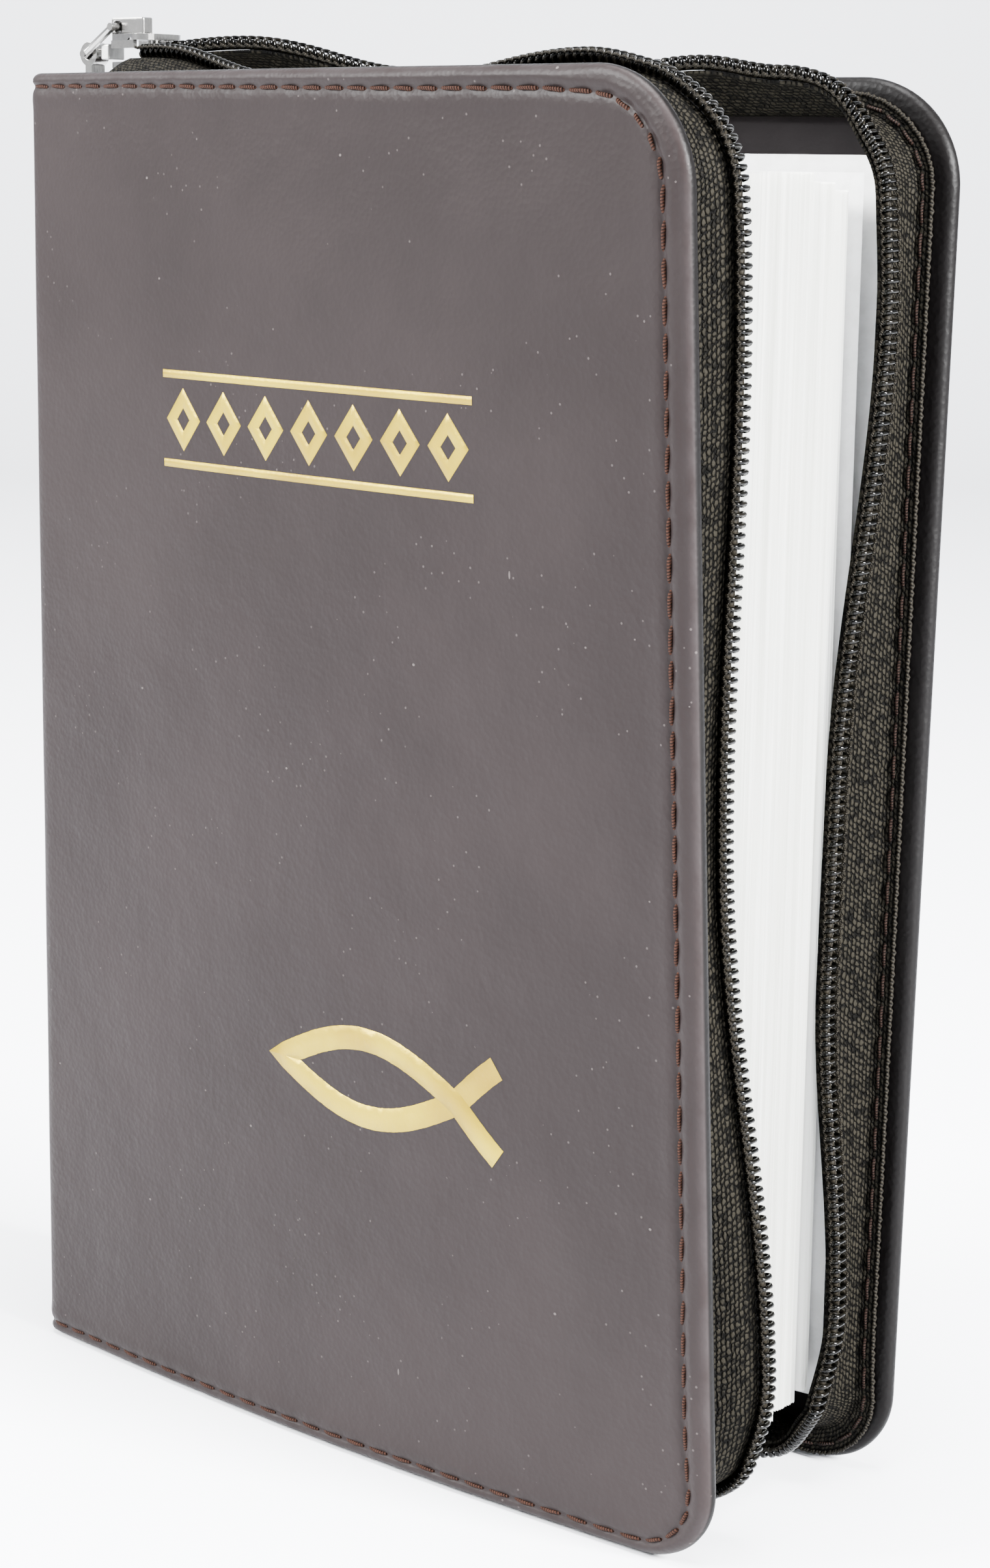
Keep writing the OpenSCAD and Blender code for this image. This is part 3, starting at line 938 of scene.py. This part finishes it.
@dataclass
class Stitching:
    """Lock stitches in twisted thread, sunk in the groove round a cover and over the spine."""

    shape: CaseShape
    skin: Skin
    radius: float = 0.25
    share: float = 0.84
    dice: random.Random = field(default_factory=lambda: random.Random(23))

    def stitch(self, sketch: Sketch, ends: tuple[Vector, Vector], away: Vector, radius: float) -> None:
        """Adds one stitch: a bowed tube that dips under the surface at both ends.

        Args:
            sketch: where it goes.
            ends: its two ends on the surface, in metres.
            away: the direction off the surface.
            radius: the thread's radius in mm.
        """
        a, b = ends
        run = (b - a).normalized()
        across = run.cross(away).normalized()
        rings, steps, sides = [], 8, 8
        for i in range(steps + 1):
            t = i / steps
            arch = math.sin(math.pi * t) ** 0.55
            centre = a.lerp(b, t) + away * ((arch - 0.75) * radius * 1.25 * MM)
            wide = radius * (0.72 + 0.28 * arch) * MM
            ring = []
            for k in range(sides):
                turn = 2 * math.pi * k / sides
                lobe = 1 + 0.13 * math.cos(2 * turn - 7.5 * t)
                ring.append(tuple(centre + (across * math.cos(turn) + away * math.sin(turn)) * wide * lobe))
            rings.append(ring)
        length = (b - a).length
        sketch.rows(rings, ring=True, caps=True,
                    strip=lambda i, j: (length * i / steps, j / sides))

    def build(self, material: bpy.types.Material) -> Any:
        """Makes the whole row of one half of the case."""
        shape, skin, side = self.shape, self.skin, self.skin.side
        sketch = Sketch()
        past = shape.half_t - shape.fold_r * (1 - math.pi / 4)
        pitch = skin.stitch_pitch
        count = int((shape.s_end + 2 * past) / pitch)
        for i in range(count):
            s = -past + (i + 0.5) * (shape.s_end + 2 * past) / count
            half = self.share * pitch / 2
            slant = self.dice.gauss(0.0, 0.05)
            places = []
            for turn in (-1, 1):
                at = s + turn * half
                line = shape.stitch_inset(at)
                depth = skin.lift(line, at) - 0.06
                places.append(Vector(shape.skin_edge(side, at, line + turn * (0.07 + slant), depth)))
            off = Vector(shape.skin_edge(side, s, shape.stitch_inset(s), -1.0))
            on = Vector(shape.skin_edge(side, s, shape.stitch_inset(s), 0.0))
            self.stitch(sketch, (places[0], places[1]), (off - on).normalized(),
                        self.radius * self.dice.uniform(0.94, 1.06))
        piece = sketch.build(f"{side.word}_lock_stitches", material, "thread")
        start = shape.world(shape.x_spine, side.value * (shape.half_t - 2.5), shape.height / 2)
        end = shape.world(shape.x_spine + 3.0, side.value * shape.half_t, shape.height / 2)
        side.body
        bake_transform(piece)
        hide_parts(f"{side.word}_stitching")
        return piece

    def build_inner(self, material: bpy.types.Material) -> Any:
        """Makes the same row where it shows in the valley of the zip tape."""
        shape, side = self.shape, self.skin.side
        sketch = Sketch()
        pitch = self.skin.stitch_pitch
        first = 38.0
        count = int((shape.s_end - first - 6) / pitch)
        for i in range(count):
            s = first + (i + 0.5) * pitch
            inset = shape.stitch_inset(s)
            half = self.share * pitch / 2
            depth = shape.cover_t + 0.42
            ends = tuple(Vector(shape.edge(side, s + turn * half, inset, depth)) for turn in (-1, 1))
            inward = Vector((0.0, -side.value, 0.0))
            self.stitch(sketch, ends, inward, self.radius * 0.9)
        piece = sketch.build(f"{side.word}_inner_stitches", material, "thread")
        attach(piece, side.body)
        return piece


@dataclass
class Inside:
    """The lining and the pasted-down endpaper on the inner face of one cover."""

    shape: CaseShape
    side: Side
    paper_inset: float = 9.0
    paper_t: float = 0.16

    def panel(self, sketch: Sketch, box: tuple[float, float, float], depth: float, thick: float) -> None:
        """Adds a thin panel that follows the cover.

        Args:
            sketch: where it goes.
            box: its first x, its last x and its inset at the head and tail, in mm.
            depth: the depth of its hidden face.
            thick: its thickness.
        """
        x_from, x_to, inset = box
        head = self.shape.head_r - inset if inset < 6 else 0.3
        tail = self.shape.tail_r - inset if inset < 6 else 0.3
        columns = [between(x_from, x_to - head, i / 40) for i in range(41)]
        columns += [x_to - head + head * math.sin(math.pi / 2 * i / 12) for i in range(1, 13)]
        for face in (0.0, 1.0):
            rows = []
            for x in columns:
                low = inset + self.cut(x - x_to, tail)
                high = self.shape.height - inset - self.cut(x - x_to, head)
                row = []
                for j in range(61):
                    z = between(low, high, j / 60)
                    soft = 0.05 * math.sin(x * 0.19 + z * 0.05) * math.sin(z * 0.11) * face
                    row.append(self.shape.on_face(self.side, x, z, depth + thick * face + soft))
                rows.append(row)
            sketch.rows(rows)
            if face:
                count = len(columns) * 61
                first = len(sketch.points) - 2 * count
                self.rim(sketch, first, count, len(columns))

    def cut(self, off: float, radius: float) -> float:
        """How much a rounded corner takes off the height at an x measured from the last x."""
        return radius - math.sqrt(max(radius ** 2 - max(off + radius, 0.0) ** 2, 0.0))

    def rim(self, sketch: Sketch, first: int, count: int, columns: int) -> None:
        """Closes the edge between a panel's two faces.

        Args:
            sketch: the sketch that holds both faces.
            first: the first point of the hidden face.
            count: how many points a face has.
            columns: how many columns a face has.
        """
        loop = [first + i * 61 for i in range(columns)]
        loop += [first + (columns - 1) * 61 + j for j in range(1, 61)]
        loop += [first + i * 61 + 60 for i in reversed(range(columns - 1))]
        loop += [first + j for j in reversed(range(1, 60))]
        for a, b in zip(loop, loop[1:] + loop[:1]):
            sketch.faces.append((a, b, b + count, a + count))

    def build_lining(self, material: bpy.types.Material) -> Any:
        """Makes the smooth dark lining."""
        sketch = Sketch()
        shape = self.shape
        self.panel(sketch, (shape.x_spine + 2.0, shape.x_fore - 2.6, 2.6), 2.0, 0.42)
        piece = sketch.build(f"{self.side.word}_lining", material, "lining")
        tidy(piece)
        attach(piece, self.side.body)
        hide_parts(f"{self.side.word}_cover_lining")
        return piece

    def build_paper(self, material: bpy.types.Material) -> Any:
        """Makes the endpaper pasted to the lining."""
        sketch = Sketch()
        shape = self.shape
        box = (shape.x_spine + 4, shape.x_fore - self.paper_inset, self.paper_inset)
        self.panel(sketch, box, shape.cover_t + 0.05, self.paper_t)
        piece = sketch.build(f"{self.side.word}_endpaper", material, "endpaper")
        tidy(piece)
        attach(piece, self.side.body)
        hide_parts(f"{self.side.word}_pastedown")
        return piece


@dataclass
class PageGroup:
    """A group of thin pages, drawn as separate leaves whose cut edges are a little uneven."""

    name: str
    node: str
    body: str
    spine_y: tuple[float, float]
    fore_y: tuple[float, float]
    shape: CaseShape
    leaf: float = 0.24
    ragged: float = 0.10
    lift: float = 0.0

    def build(self, material: bpy.types.Material, dice: random.Random) -> Any:
        """Makes the group inside its packed outline.

        Args:
            material: the finish of the cut edges.
            dice: the source of the unevenness.

        Returns:
            The piece.
        """
        low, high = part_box(self.node)
        x_low, x_high = low[0] / MM - self.shape.x_mid, high[0] / MM - self.shape.x_mid
        z_low, z_high = low[2] / MM + self.lift, high[2] / MM - self.lift
        fore = self.fore_y[1] - self.fore_y[0]
        count = max(1, round(fore / self.leaf))
        sketch = Sketch()
        for i in range(count):
            slide = -abs(dice.gauss(0.0, self.ragged)) if count > 1 else 0.0
            drop = abs(dice.gauss(0.0, self.ragged * 0.7)) if count > 1 else 0.0
            phase = dice.uniform(0, 6.28)
            rows = []
            for k in range(17):
                z = between(z_low + drop, z_high - drop * 0.5, k / 16)
                ring = []
                for share, edge in ((0.0, 0.0), (0.35, 0.0), (0.7, 0.0), (0.97, 0.0), (1.0, 0.5),
                                    (0.97, 1.0), (0.7, 1.0), (0.35, 1.0), (0.0, 1.0)):
                    a = (i + edge) / count
                    y = between(between(*self.spine_y, a), between(*self.fore_y, a), share)
                    y += 0.04 * share * math.sin(z * 0.045 + phase) * min(1.0, 4 * min(a, 1 - a))
                    ring.append(self.shape.world(between(x_low, x_high + slide, share), y, z))
                rows.append(ring)
            sketch.rows(rows, ring=True, caps=True)
        piece = sketch.build(self.name, material, "page", smooth=False)
        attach(piece, self.body)
        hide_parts(self.node)
        return piece


@dataclass
class ZipTape:
    """The woven tape of one cover: sewn flat, folded up, and straight behind the coil."""

    shape: CaseShape
    side: Side
    thick: float = 0.5
    coil_w: float = 2.4
    coil_t: float = 1.7
    first: float = 7.5
    step: float = 1.0

    def spine_line(self, s: float) -> list[tuple[float, float]]:
        """The middle line of the tape's section, as pairs of inset and depth."""
        shape = self.shape
        fold = shape.fold_inset(s)
        lip = min(max(0.7, shape.stitch_inset(s) - 1.0), fold - 0.7)
        base = shape.cover_t - 0.1 + self.thick / 2
        rise = shape.cover_t + 0.12 + shape.coil_rise(self.side, s)
        free = self.coil_t + self.thick / 2 + 0.12 - shape.coil_out(self.side, s)
        knee = rise - self.coil_w + 0.2
        line = [(lip, base), (between(lip, fold, 0.5), base), (fold - 0.4, base), (fold + 0.1, base + 0.22)]
        for i in range(1, 9):
            t = i / 8
            sag = 0.35 * math.sin(math.pi * t)
            inset = between(fold + 0.25, free, ease(t) * 0.6 + t * 0.4) + sag
            line.append((inset, between(base + 0.5, knee, t)))
        line += [(free, between(knee, rise, 0.5)), (free, rise)]
        return line

    def build(self, material: bpy.types.Material) -> Any:
        """Makes the tape along its cover."""
        shape = self.shape
        last = shape.s_end - 5
        count = round((last - self.first) / self.step)
        stations = [between(self.first, last, i / count) for i in range(count + 1)]
        rings, widths = [], []
        for s in stations:
            line = self.spine_line(s)
            left, right, laid = [], [], []
            run = 0.0
            for i, (inset, depth) in enumerate(line):
                before, after = line[max(0, i - 1)], line[min(len(line) - 1, i + 1)]
                dx, dy = after[0] - before[0], after[1] - before[1]
                size = math.hypot(dx, dy) or 1.0
                half = self.thick / 2 * (0.7 if i in (0, len(line) - 1) else 1.0)
                nx, ny = -dy / size * half, dx / size * half
                left.append((inset + nx, depth + ny))
                right.append((inset - nx, depth - ny))
                run += math.hypot(inset - line[i - 1][0], depth - line[i - 1][1]) if i else 0.0
                laid.append(run)
            ring = [shape.edge(self.side, s, a, b) for a, b in left + list(reversed(right))]
            rings.append(ring)
            widths.append(laid + list(reversed(laid)))
        sketch = Sketch()
        sketch.rows(rings, ring=True, caps=True, strip=lambda i, j: (stations[i] * MM, widths[i][j] * MM))
        piece = sketch.build(f"{self.side.word}_tape", material, "zip_tape")
        tidy(piece)
        self.bridge(piece)
        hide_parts(f"{self.side.word}_zip_tape", f"{self.side.word}_zip_end")
        return piece

    def bridge(self, piece: Any) -> None:
        """Bakes the piece's placement into its mesh."""
        shape = self.shape
        start = shape.world(shape.x_spine + 11.0, 0.0, shape.height + 3.0)
        end = shape.world(shape.x_spine + 33.0, 0.0, shape.height - 9.0)
        self.side.body
        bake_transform(piece)


@dataclass
class ZipCoil:
    """The wound nylon coil of one tape, with its headed loops and the chain stitches that hold it."""

    shape: CaseShape
    tape: ZipTape
    pitch: float = 1.16
    wire: float = 0.27
    stair: float = 1.1
    turns_cut: int = 18
    core_r: float = 0.56
    core_drop: float = 0.42

    def frame_at(self, s: float) -> tuple[Vector, Vector, Vector]:
        """The coil's middle, its outward direction and its direction towards the free edge."""
        shape, side, tape = self.shape, self.tape.side, self.tape
        mid = tape.coil_t / 2 - shape.coil_out(side, s)
        depth = shape.cover_t + shape.coil_rise(side, s) - tape.coil_w / 2 + 0.7
        centre = Vector(shape.edge(side, s, mid, depth))
        _, _, out_x, out_z = shape.outline(s, mid)
        outward = Vector((out_x, 0.0, out_z))
        inward = Vector((0.0, -side.value, 0.0))
        return centre, outward, inward

    def tube(self, sketch: Sketch, path: list[tuple[Vector, float]], sides: int) -> None:
        """Adds a tube through points of varying radius.

        Args:
            sketch: where it goes.
            path: points in metres, each with a radius in mm.
            sides: how many sides the tube has.
        """
        rings = []
        for i, (point, radius) in enumerate(path):
            run = (path[min(i + 1, len(path) - 1)][0] - path[max(i - 1, 0)][0]).normalized()
            lead = run.cross(Vector((0.31, 0.77, 0.56))).normalized()
            other = run.cross(lead)
            ring = []
            for k in range(sides):
                turn = 2 * math.pi * k / sides
                ring.append(tuple(point + (lead * math.cos(turn) + other * math.sin(turn)) * radius * MM))
            rings.append(ring)
        sketch.rows(rings, ring=True, caps=True, strip=lambda i, j: (i * 0.0003, j / sides))

    def build(self, material: bpy.types.Material) -> Any:
        """Makes the wound monofilament as one helix with a swollen head on every turn."""
        tape = self.tape
        first, last = 8.2, self.shape.s_end - 8
        turns = round((last - first) / self.pitch)
        path = []
        for i in range(turns * self.turns_cut + 1):
            turn = i / self.turns_cut
            angle = 2 * math.pi * turn
            s = between(first, last, (turn - self.stair * math.sin(angle) / (2 * math.pi)) / turns)
            centre, outward, inward = self.frame_at(s)
            head = max(0.0, math.sin(angle)) ** 5
            flat = math.copysign(abs(math.cos(angle)) ** 0.7, math.cos(angle))
            radius = self.wire * (1 + 0.6 * head)
            point = centre + outward * ((tape.coil_t / 2 - self.wire) * flat * MM)
            reach = math.copysign(abs(math.sin(angle)) ** 0.75, math.sin(angle))
            point += inward * ((tape.coil_w / 2 - radius) * reach * MM)
            path.append((point, radius))
        sketch = Sketch()
        self.tube(sketch, path, 7)
        piece = sketch.build(f"{tape.side.word}_coil", material, "zip_coil")
        tape.bridge(piece)
        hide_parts(f"{tape.side.word}_zip_coil")
        return piece

    def build_chain(self, material: bpy.types.Material) -> Any:
        """Makes the chain stitches over the coil's legs, in two rows on the back tape and one on the front,
        the knobbly lip of the tape, and its filler cord.
        """
        tape = self.tape
        first, last = 8.2, self.shape.s_end - 8
        sketch = Sketch()
        rows = [(-1.3, 0.30, 0.16)]
        if tape.side is Side.BACK:
            rows.append((1.0, -0.45, 0.19))
        for place, lift, radius in rows:
            path = []
            count = round((last - first) / self.pitch) * 6
            for i in range(count + 1):
                s = between(first, last, i / count)
                beat = 2 * math.pi * i / 6
                centre, outward, inward = self.frame_at(s)
                point = centre + outward * (lift + 0.12 * math.cos(beat)) * MM
                point += inward * (place + 0.14 * math.sin(beat)) * MM
                path.append((point, radius * (1 + 0.35 * math.cos(beat))))
            self.tube(sketch, path, 5)
        lip = []
        for i in range(round((last - first) * 2.2)):
            s = first + i / 2.2
            inset, depth = tape.spine_line(s)[0]
            knob = 0.05 * math.sin(i * 2.3) + 0.04 * math.sin(i * 1.1)
            place = Vector(self.shape.edge(tape.side, s, inset - 0.1 + knob, depth + 0.12))
            lip.append((place, 0.26 * (1 + 0.3 * math.cos(i * math.pi))))
        self.tube(sketch, lip, 6)
        core = []
        for i in range(round(last - first) + 1):
            centre, outward, _ = self.frame_at(first + i)
            core.append((centre - outward * self.core_drop * MM, self.core_r))
        self.tube(sketch, core, 8)
        piece = sketch.build(f"{tape.side.word}_coil_sewing", material, "thread")
        tape.bridge(piece)
        return piece


@dataclass
class FrontFoil:
    """The stamped foil on the front: a band of lozenges between two rules, and a two-arc fish."""

    shape: CaseShape
    lift: float = 0.035
    band_x: tuple[float, float] = (-29.0, 25.5)
    band_z: tuple[float, float] = (122.5, 133.5)
    lozenges: int = 7
    nose: tuple[float, float] = (-8.0, 50.2)
    body: tuple[float, float] = (29.2, 4.9)
    tail: float = 8.8
    ribbon: float = 1.5
    tip: float = 2.5
    dice: random.Random = field(default_factory=lambda: random.Random(5))

    def place(self, x: float, z: float, up: float) -> Point:
        """A place over the front skin."""
        hollow = Skin(self.shape, Side.FRONT).hollow(x, z)
        return self.shape.on_face(Side.FRONT, x, z, hollow - up)

    def ribbon_rows(
        self, sketch: Sketch, line: list[tuple[float, float]], half: float, lift: float, keep: int = 0
    ) -> None:
        """Adds a stamped ribbon along a line, with softly rounded and slightly uneven edges.

        Args:
            sketch: where it goes.
            line: its middle, as pairs of x and z in mm.
            half: its half width in mm.
            lift: how far it stands over the skin.
            keep: 1 or -1 to keep it above or below the fish's nose and draw it to a point, else 0.
        """
        rows = []
        for i, (x, z) in enumerate(line):
            before, after = line[max(0, i - 1)], line[min(len(line) - 1, i + 1)]
            dx, dz = after[0] - before[0], after[1] - before[1]
            size = math.hypot(dx, dz) or 1.0
            row = []
            for across, up in ((-1.0, -0.02), (-0.97, lift), (0.0, lift), (0.97, lift), (1.0, -0.02)):
                reach = across * half * (1 + self.dice.gauss(0.0, 0.012))
                at_x, at_z = x - dz / size * reach, z + dx / size * reach
                if keep and at_x < self.nose[0] + 6 and keep * (at_z - self.nose[1]) < 0:
                    at_z = self.nose[1]
                if keep and i == 0 and keep * across > 0:
                    at_x, at_z = self.nose[0] - self.tip, self.nose[1]
                row.append(self.place(at_x, at_z, up))
            rows.append(row)
        sketch.rows(rows)

    def lozenge(self, sketch: Sketch, x: float, z: float, half: tuple[float, float]) -> None:
        """Adds a stamped lozenge with a smaller lozenge left bare in its middle.

        Args:
            sketch: where it goes.
            x: its middle.
            z: its middle height.
            half: its half width and half height.
        """
        rows = []
        lift = self.lift
        for scale, up in ((1.0, -0.02), (0.985, lift), (0.7, lift), (0.38, lift), (0.36, -0.02)):
            ring = []
            for k in range(32):
                corner, share = divmod(k, 8)
                ends = ((1, 0), (0, 1), (-1, 0), (0, -1), (1, 0))
                a, b = ends[corner], ends[corner + 1]
                px = between(a[0], b[0], share / 8) * half[0] * scale
                pz = between(a[1], b[1], share / 8) * half[1] * scale
                ring.append(self.place(x + px, z + pz, up))
            rows.append(ring)
        sketch.rows(rows, ring=True)

    def build_band(self, material: bpy.types.Material) -> Any:
        """Makes the ornamental band."""
        sketch = Sketch()
        for z in self.band_z:
            line = [(between(*self.band_x, i / 60), z) for i in range(61)]
            self.ribbon_rows(sketch, line, 0.5, self.lift)
        step = (self.band_x[1] - self.band_x[0]) / self.lozenges
        middle = sum(self.band_z) / 2
        half = (step * 0.42, (self.band_z[1] - self.band_z[0]) / 2 - 1.6)
        for i in range(self.lozenges):
            self.lozenge(sketch, self.band_x[0] + step * (i + 0.5), middle, half)
        return self.finish(sketch, "foil_band", material, "title_band_foil")

    def build_fish(self, material: bpy.types.Material) -> Any:
        """Makes the fish."""
        sketch = Sketch()
        for turn in (1, -1):
            line = []
            for i in range(90):
                t = 1.22 * i / 89
                height = self.body[1] if t < 1 else self.tail
                up = turn * height * math.sin(math.pi * t)
                line.append((self.nose[0] + t * self.body[0], self.nose[1] + up))
            self.ribbon_rows(sketch, line, self.ribbon, self.lift + 0.006 * turn, turn)
        return self.finish(sketch, "foil_fish", material, "fish_foil")

    def finish(self, sketch: Sketch, name: str, material: bpy.types.Material, node: str) -> Any:
        """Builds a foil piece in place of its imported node."""
        piece = sketch.build(name, material, "gold_foil")
        tidy(piece)
        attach(piece, Side.FRONT.body)
        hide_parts(node)
        return piece


class Hardware:
    """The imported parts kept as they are: metal with rounded edges, and the hidden card, gauze and bands."""

    metal = {"zip_slider": 0.0003, "slider_crown": 0.0009, "pull_link": 0.00015, "pull_tab": 0.0003}
    stops = ("front_top_stop", "back_top_stop", "zip_end_stop")
    hidden = {
        "card": ("front_cover_board", "back_cover_board", "spine_board"),
        "lining": ("spine_lining",),
        "mull": ("spine_mull",),
        "glue": ("spine_glue",),
        "band": ("headband", "tailband"),
    }

    def dress(self, node: str, material: bpy.types.Material, rounding: float) -> None:
        """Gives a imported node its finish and, if asked, rounded edges.

        Args:
            node: the node's name.
            material: its finish.
            rounding: the edge radius in metres, or nought.
        """
        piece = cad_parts[node]
        for slot in piece.material_slots:
            slot.link = "OBJECT"
            slot.material = material
        if rounding > 0.0:
            piece.modifiers.new("joined", "WELD").merge_threshold = 1e-6
            bevel = piece.modifiers.new("edges", "BEVEL")
            bevel.width = rounding
            bevel.segments = 3
            bevel.limit_method = "ANGLE"
        LOG.info("%s: kept from the frame", node)

    def build(self, finishes: dict[str, bpy.types.Material]) -> None:
        """Dresses every kept node."""
        for node, rounding in self.metal.items():
            self.dress(node, finishes["nickel"], rounding)
        for node in self.stops:
            self.dress(node, finishes["stop"], 0.0002)
        for name, nodes in self.hidden.items():
            for node in nodes:
                self.dress(node, finishes[name], 0.0)


class Studio:
    """The pale floor, the soft lights and the camera."""

    yaw = 38.93
    pitch = 11.33
    roll = 0.77
    aim = (7.02, -2.14)
    distance = 390.8
    lens = 71.31

    def __init__(self, shape: CaseShape) -> None:
        """Keeps the case's shape, which the camera is aimed by."""
        self.shape = shape

    def camera(self) -> None:
        """Makes the camera at its standing place in front of the case."""
        yaw, pitch, roll = (math.radians(v) for v in (self.yaw, self.pitch, self.roll))
        back = Vector((math.sin(yaw) * math.cos(pitch), -math.cos(yaw) * math.cos(pitch), math.sin(pitch)))
        right = Vector((math.cos(yaw), math.sin(yaw), 0.0))
        up = back.cross(right)
        target = Vector(self.shape.world(0.0, 0.0, self.shape.height / 2))
        target += (right * self.aim[0] + up * self.aim[1]) * MM
        data = bpy.data.cameras.new("camera")
        data.lens = self.lens
        data.sensor_width = 36.0
        data.dof.use_dof = False
        data.clip_start = 0.01
        camera = bpy.data.objects.new("camera", data)
        across = right * math.cos(roll) + up * math.sin(roll)
        above = up * math.cos(roll) - right * math.sin(roll)
        matrix = camera.matrix_world.to_3x3()
        for i in range(3):
            matrix[i] = (across[i], above[i], back[i])
        camera.matrix_world = matrix.to_4x4()
        camera.location = target + back * self.distance * MM
        bpy.context.scene.collection.objects.link(camera)
        bpy.context.scene.camera = camera

    def lamp(self, name: str, place: Point, size: float, power: float, at: Point) -> None:
        """Adds a soft square light.

        Args:
            name: its name.
            place: where it hangs, in metres.
            size: its width in metres.
            power: its power in watts.
            at: the point it faces.
        """
        data = bpy.data.lights.new(name, "AREA")
        data.size = size
        data.energy = power
        lamp = bpy.data.objects.new(name, data)
        lamp.location = place
        lamp.rotation_euler = (Vector(at) - Vector(place)).to_track_quat("-Z", "Y").to_euler()
        bpy.context.scene.collection.objects.link(lamp)

    def build(self, floor_material: bpy.types.Material) -> None:
        """Makes the floor sweep, the lights and the camera."""
        sketch = Sketch()
        rows = []
        for i in range(25):
            turn = math.radians(min(90.0, max(0.0, (i - 8) * 10.0)))
            if i <= 8:
                y, z = between(-3.0, 1.2, i / 8), -0.0002
            elif i <= 17:
                y, z = 1.2 + 0.6 * math.sin(turn), 0.6 * (1 - math.cos(turn))
            else:
                y, z = 1.8, 0.6 + (i - 17) * 0.35
            rows.append([self.turned(x, y, z) for x in (-4.0, -1.0, 1.0, 4.0)])
        sketch.rows(rows)
        floor = sketch.build("floor", floor_material, "page")
        world = bpy.data.worlds.new("studio")
        world.use_nodes = True
        world.node_tree.nodes["Background"].inputs["Color"].default_value = (0.95, 0.97, 1.0, 1.0)
        world.node_tree.nodes["Background"].inputs["Strength"].default_value = 1.5
        bpy.context.scene.world = world
        self.lamp("key", (-0.75, -0.85, 0.75), 0.5, 135.0, (0.0, 0.0, 0.09))
        self.lamp("right", (1.0, 0.02, 0.55), 0.35, 220.0, (0.03, 0.0, 0.09))
        self.lamp("top", (0.05, -0.1, 1.1), 0.5, 75.0, (0.0, 0.0, 0.1))
        self.camera()

    def turned(self, x: float, y: float, z: float) -> Point:
        """A place of the sweep, turned so that its wall stands square behind the case."""
        yaw = math.radians(self.yaw)
        return (x * math.cos(yaw) - y * math.sin(yaw), x * math.sin(yaw) + y * math.cos(yaw), z)


def page_groups(shape: CaseShape) -> list[PageGroup]:
    """The six groups of pages, front to back."""
    rows = (
        ("front_flyleaf_sheet", "front_flyleaf", "front_flyleaf", (-12.4, -12.15), (-14.4, -14.15), 0.0),
        ("front_leaf_group", "front_leaves", "front_leaves", (-12.0, -10.1), (-13.2, -11.2), 0.0),
        ("main_pages", "text_block", "spine", (-9.9, 5.0), (-9.9, 6.0), 0.0),
        ("back_pages", "back_gathering", "spine", (5.1, 9.0), (6.2, 10.7), 1.1),
        ("back_leaf_group", "back_leaves", "back_leaves", (9.1, 10.6), (11.8, 13.4), 2.0),
        ("back_flyleaf_sheet", "back_flyleaf", "back_flyleaf", (11.7, 11.95), (16.2, 16.45), 0.0),
    )
    return [
        PageGroup(name, node, body, spine_y, fore_y, shape, lift=lift)
        for name, node, body, spine_y, fore_y, lift in rows
    ]


def main() -> None:
    """Builds the case, the pages, the zip, the foil and the studio, in that order."""
    logging.basicConfig(level=logging.INFO, format="%(name)s %(message)s")
    shape = CaseShape()
    leather, lining = Leatherette().make(), Lining().make()
    thread, twill, nylon = Thread().make(), Twill().make(), Nylon().make()
    # Painted shade: a darker copy of the stitch thread for the row seen in the shaded valley of the zip tape.
    hidden = Thread("inner_thread", (0.0008, 0.0005, 0.0004), (0.0070, 0.0032, 0.0021)).make()
    sewing = Thread("coil_sewing_thread", (0.0005, 0.0004, 0.0003), (0.0072, 0.0060, 0.0040), 0.0003).make()
    pages, paper, foil = PageStack().make(), Paper().make(), Foil().make()
    finishes = {
        "nickel": Metal("nickel_plate", (0.30, 0.295, 0.285), 0.12).make(),
        "stop": Metal("pressed_stop", (0.50, 0.50, 0.49), 0.34).make(),
        "card": Paper("grey_card", (0.40, 0.36, 0.30), (0.33, 0.29, 0.24)).make(),
        "lining": lining,
        "mull": Cloth("gauze", (0.62, 0.58, 0.49), (0.40, 0.37, 0.30)).make(),
        "glue": Paper("set_glue", (0.58, 0.50, 0.32), (0.50, 0.42, 0.26)).make(),
        "band": Cloth("end_band", (0.80, 0.77, 0.70), (0.55, 0.50, 0.42)).make(),
    }
    for side in Side:
        skin = Skin(shape, side)
        skin.build(leather)
        rows = Stitching(shape, skin)
        rows.build(thread)
        rows.build_inner(hidden)
        inside = Inside(shape, side)
        inside.build_lining(lining)
        inside.build_paper(paper)
        tape = ZipTape(shape, side)
        tape.build(twill)
        coil = ZipCoil(shape, tape)
        coil.build(nylon)
        coil.build_chain(sewing)
    dice = random.Random(41)
    for group in page_groups(shape):
        group.build(paper if group.name.endswith("_sheet") else pages, dice)
    front = FrontFoil(shape)
    front.build_band(foil)
    front.build_fish(foil)
    Hardware().build(finishes)
    Studio(shape).build(Floor().make())


if __name__ == "__main__":
    main()
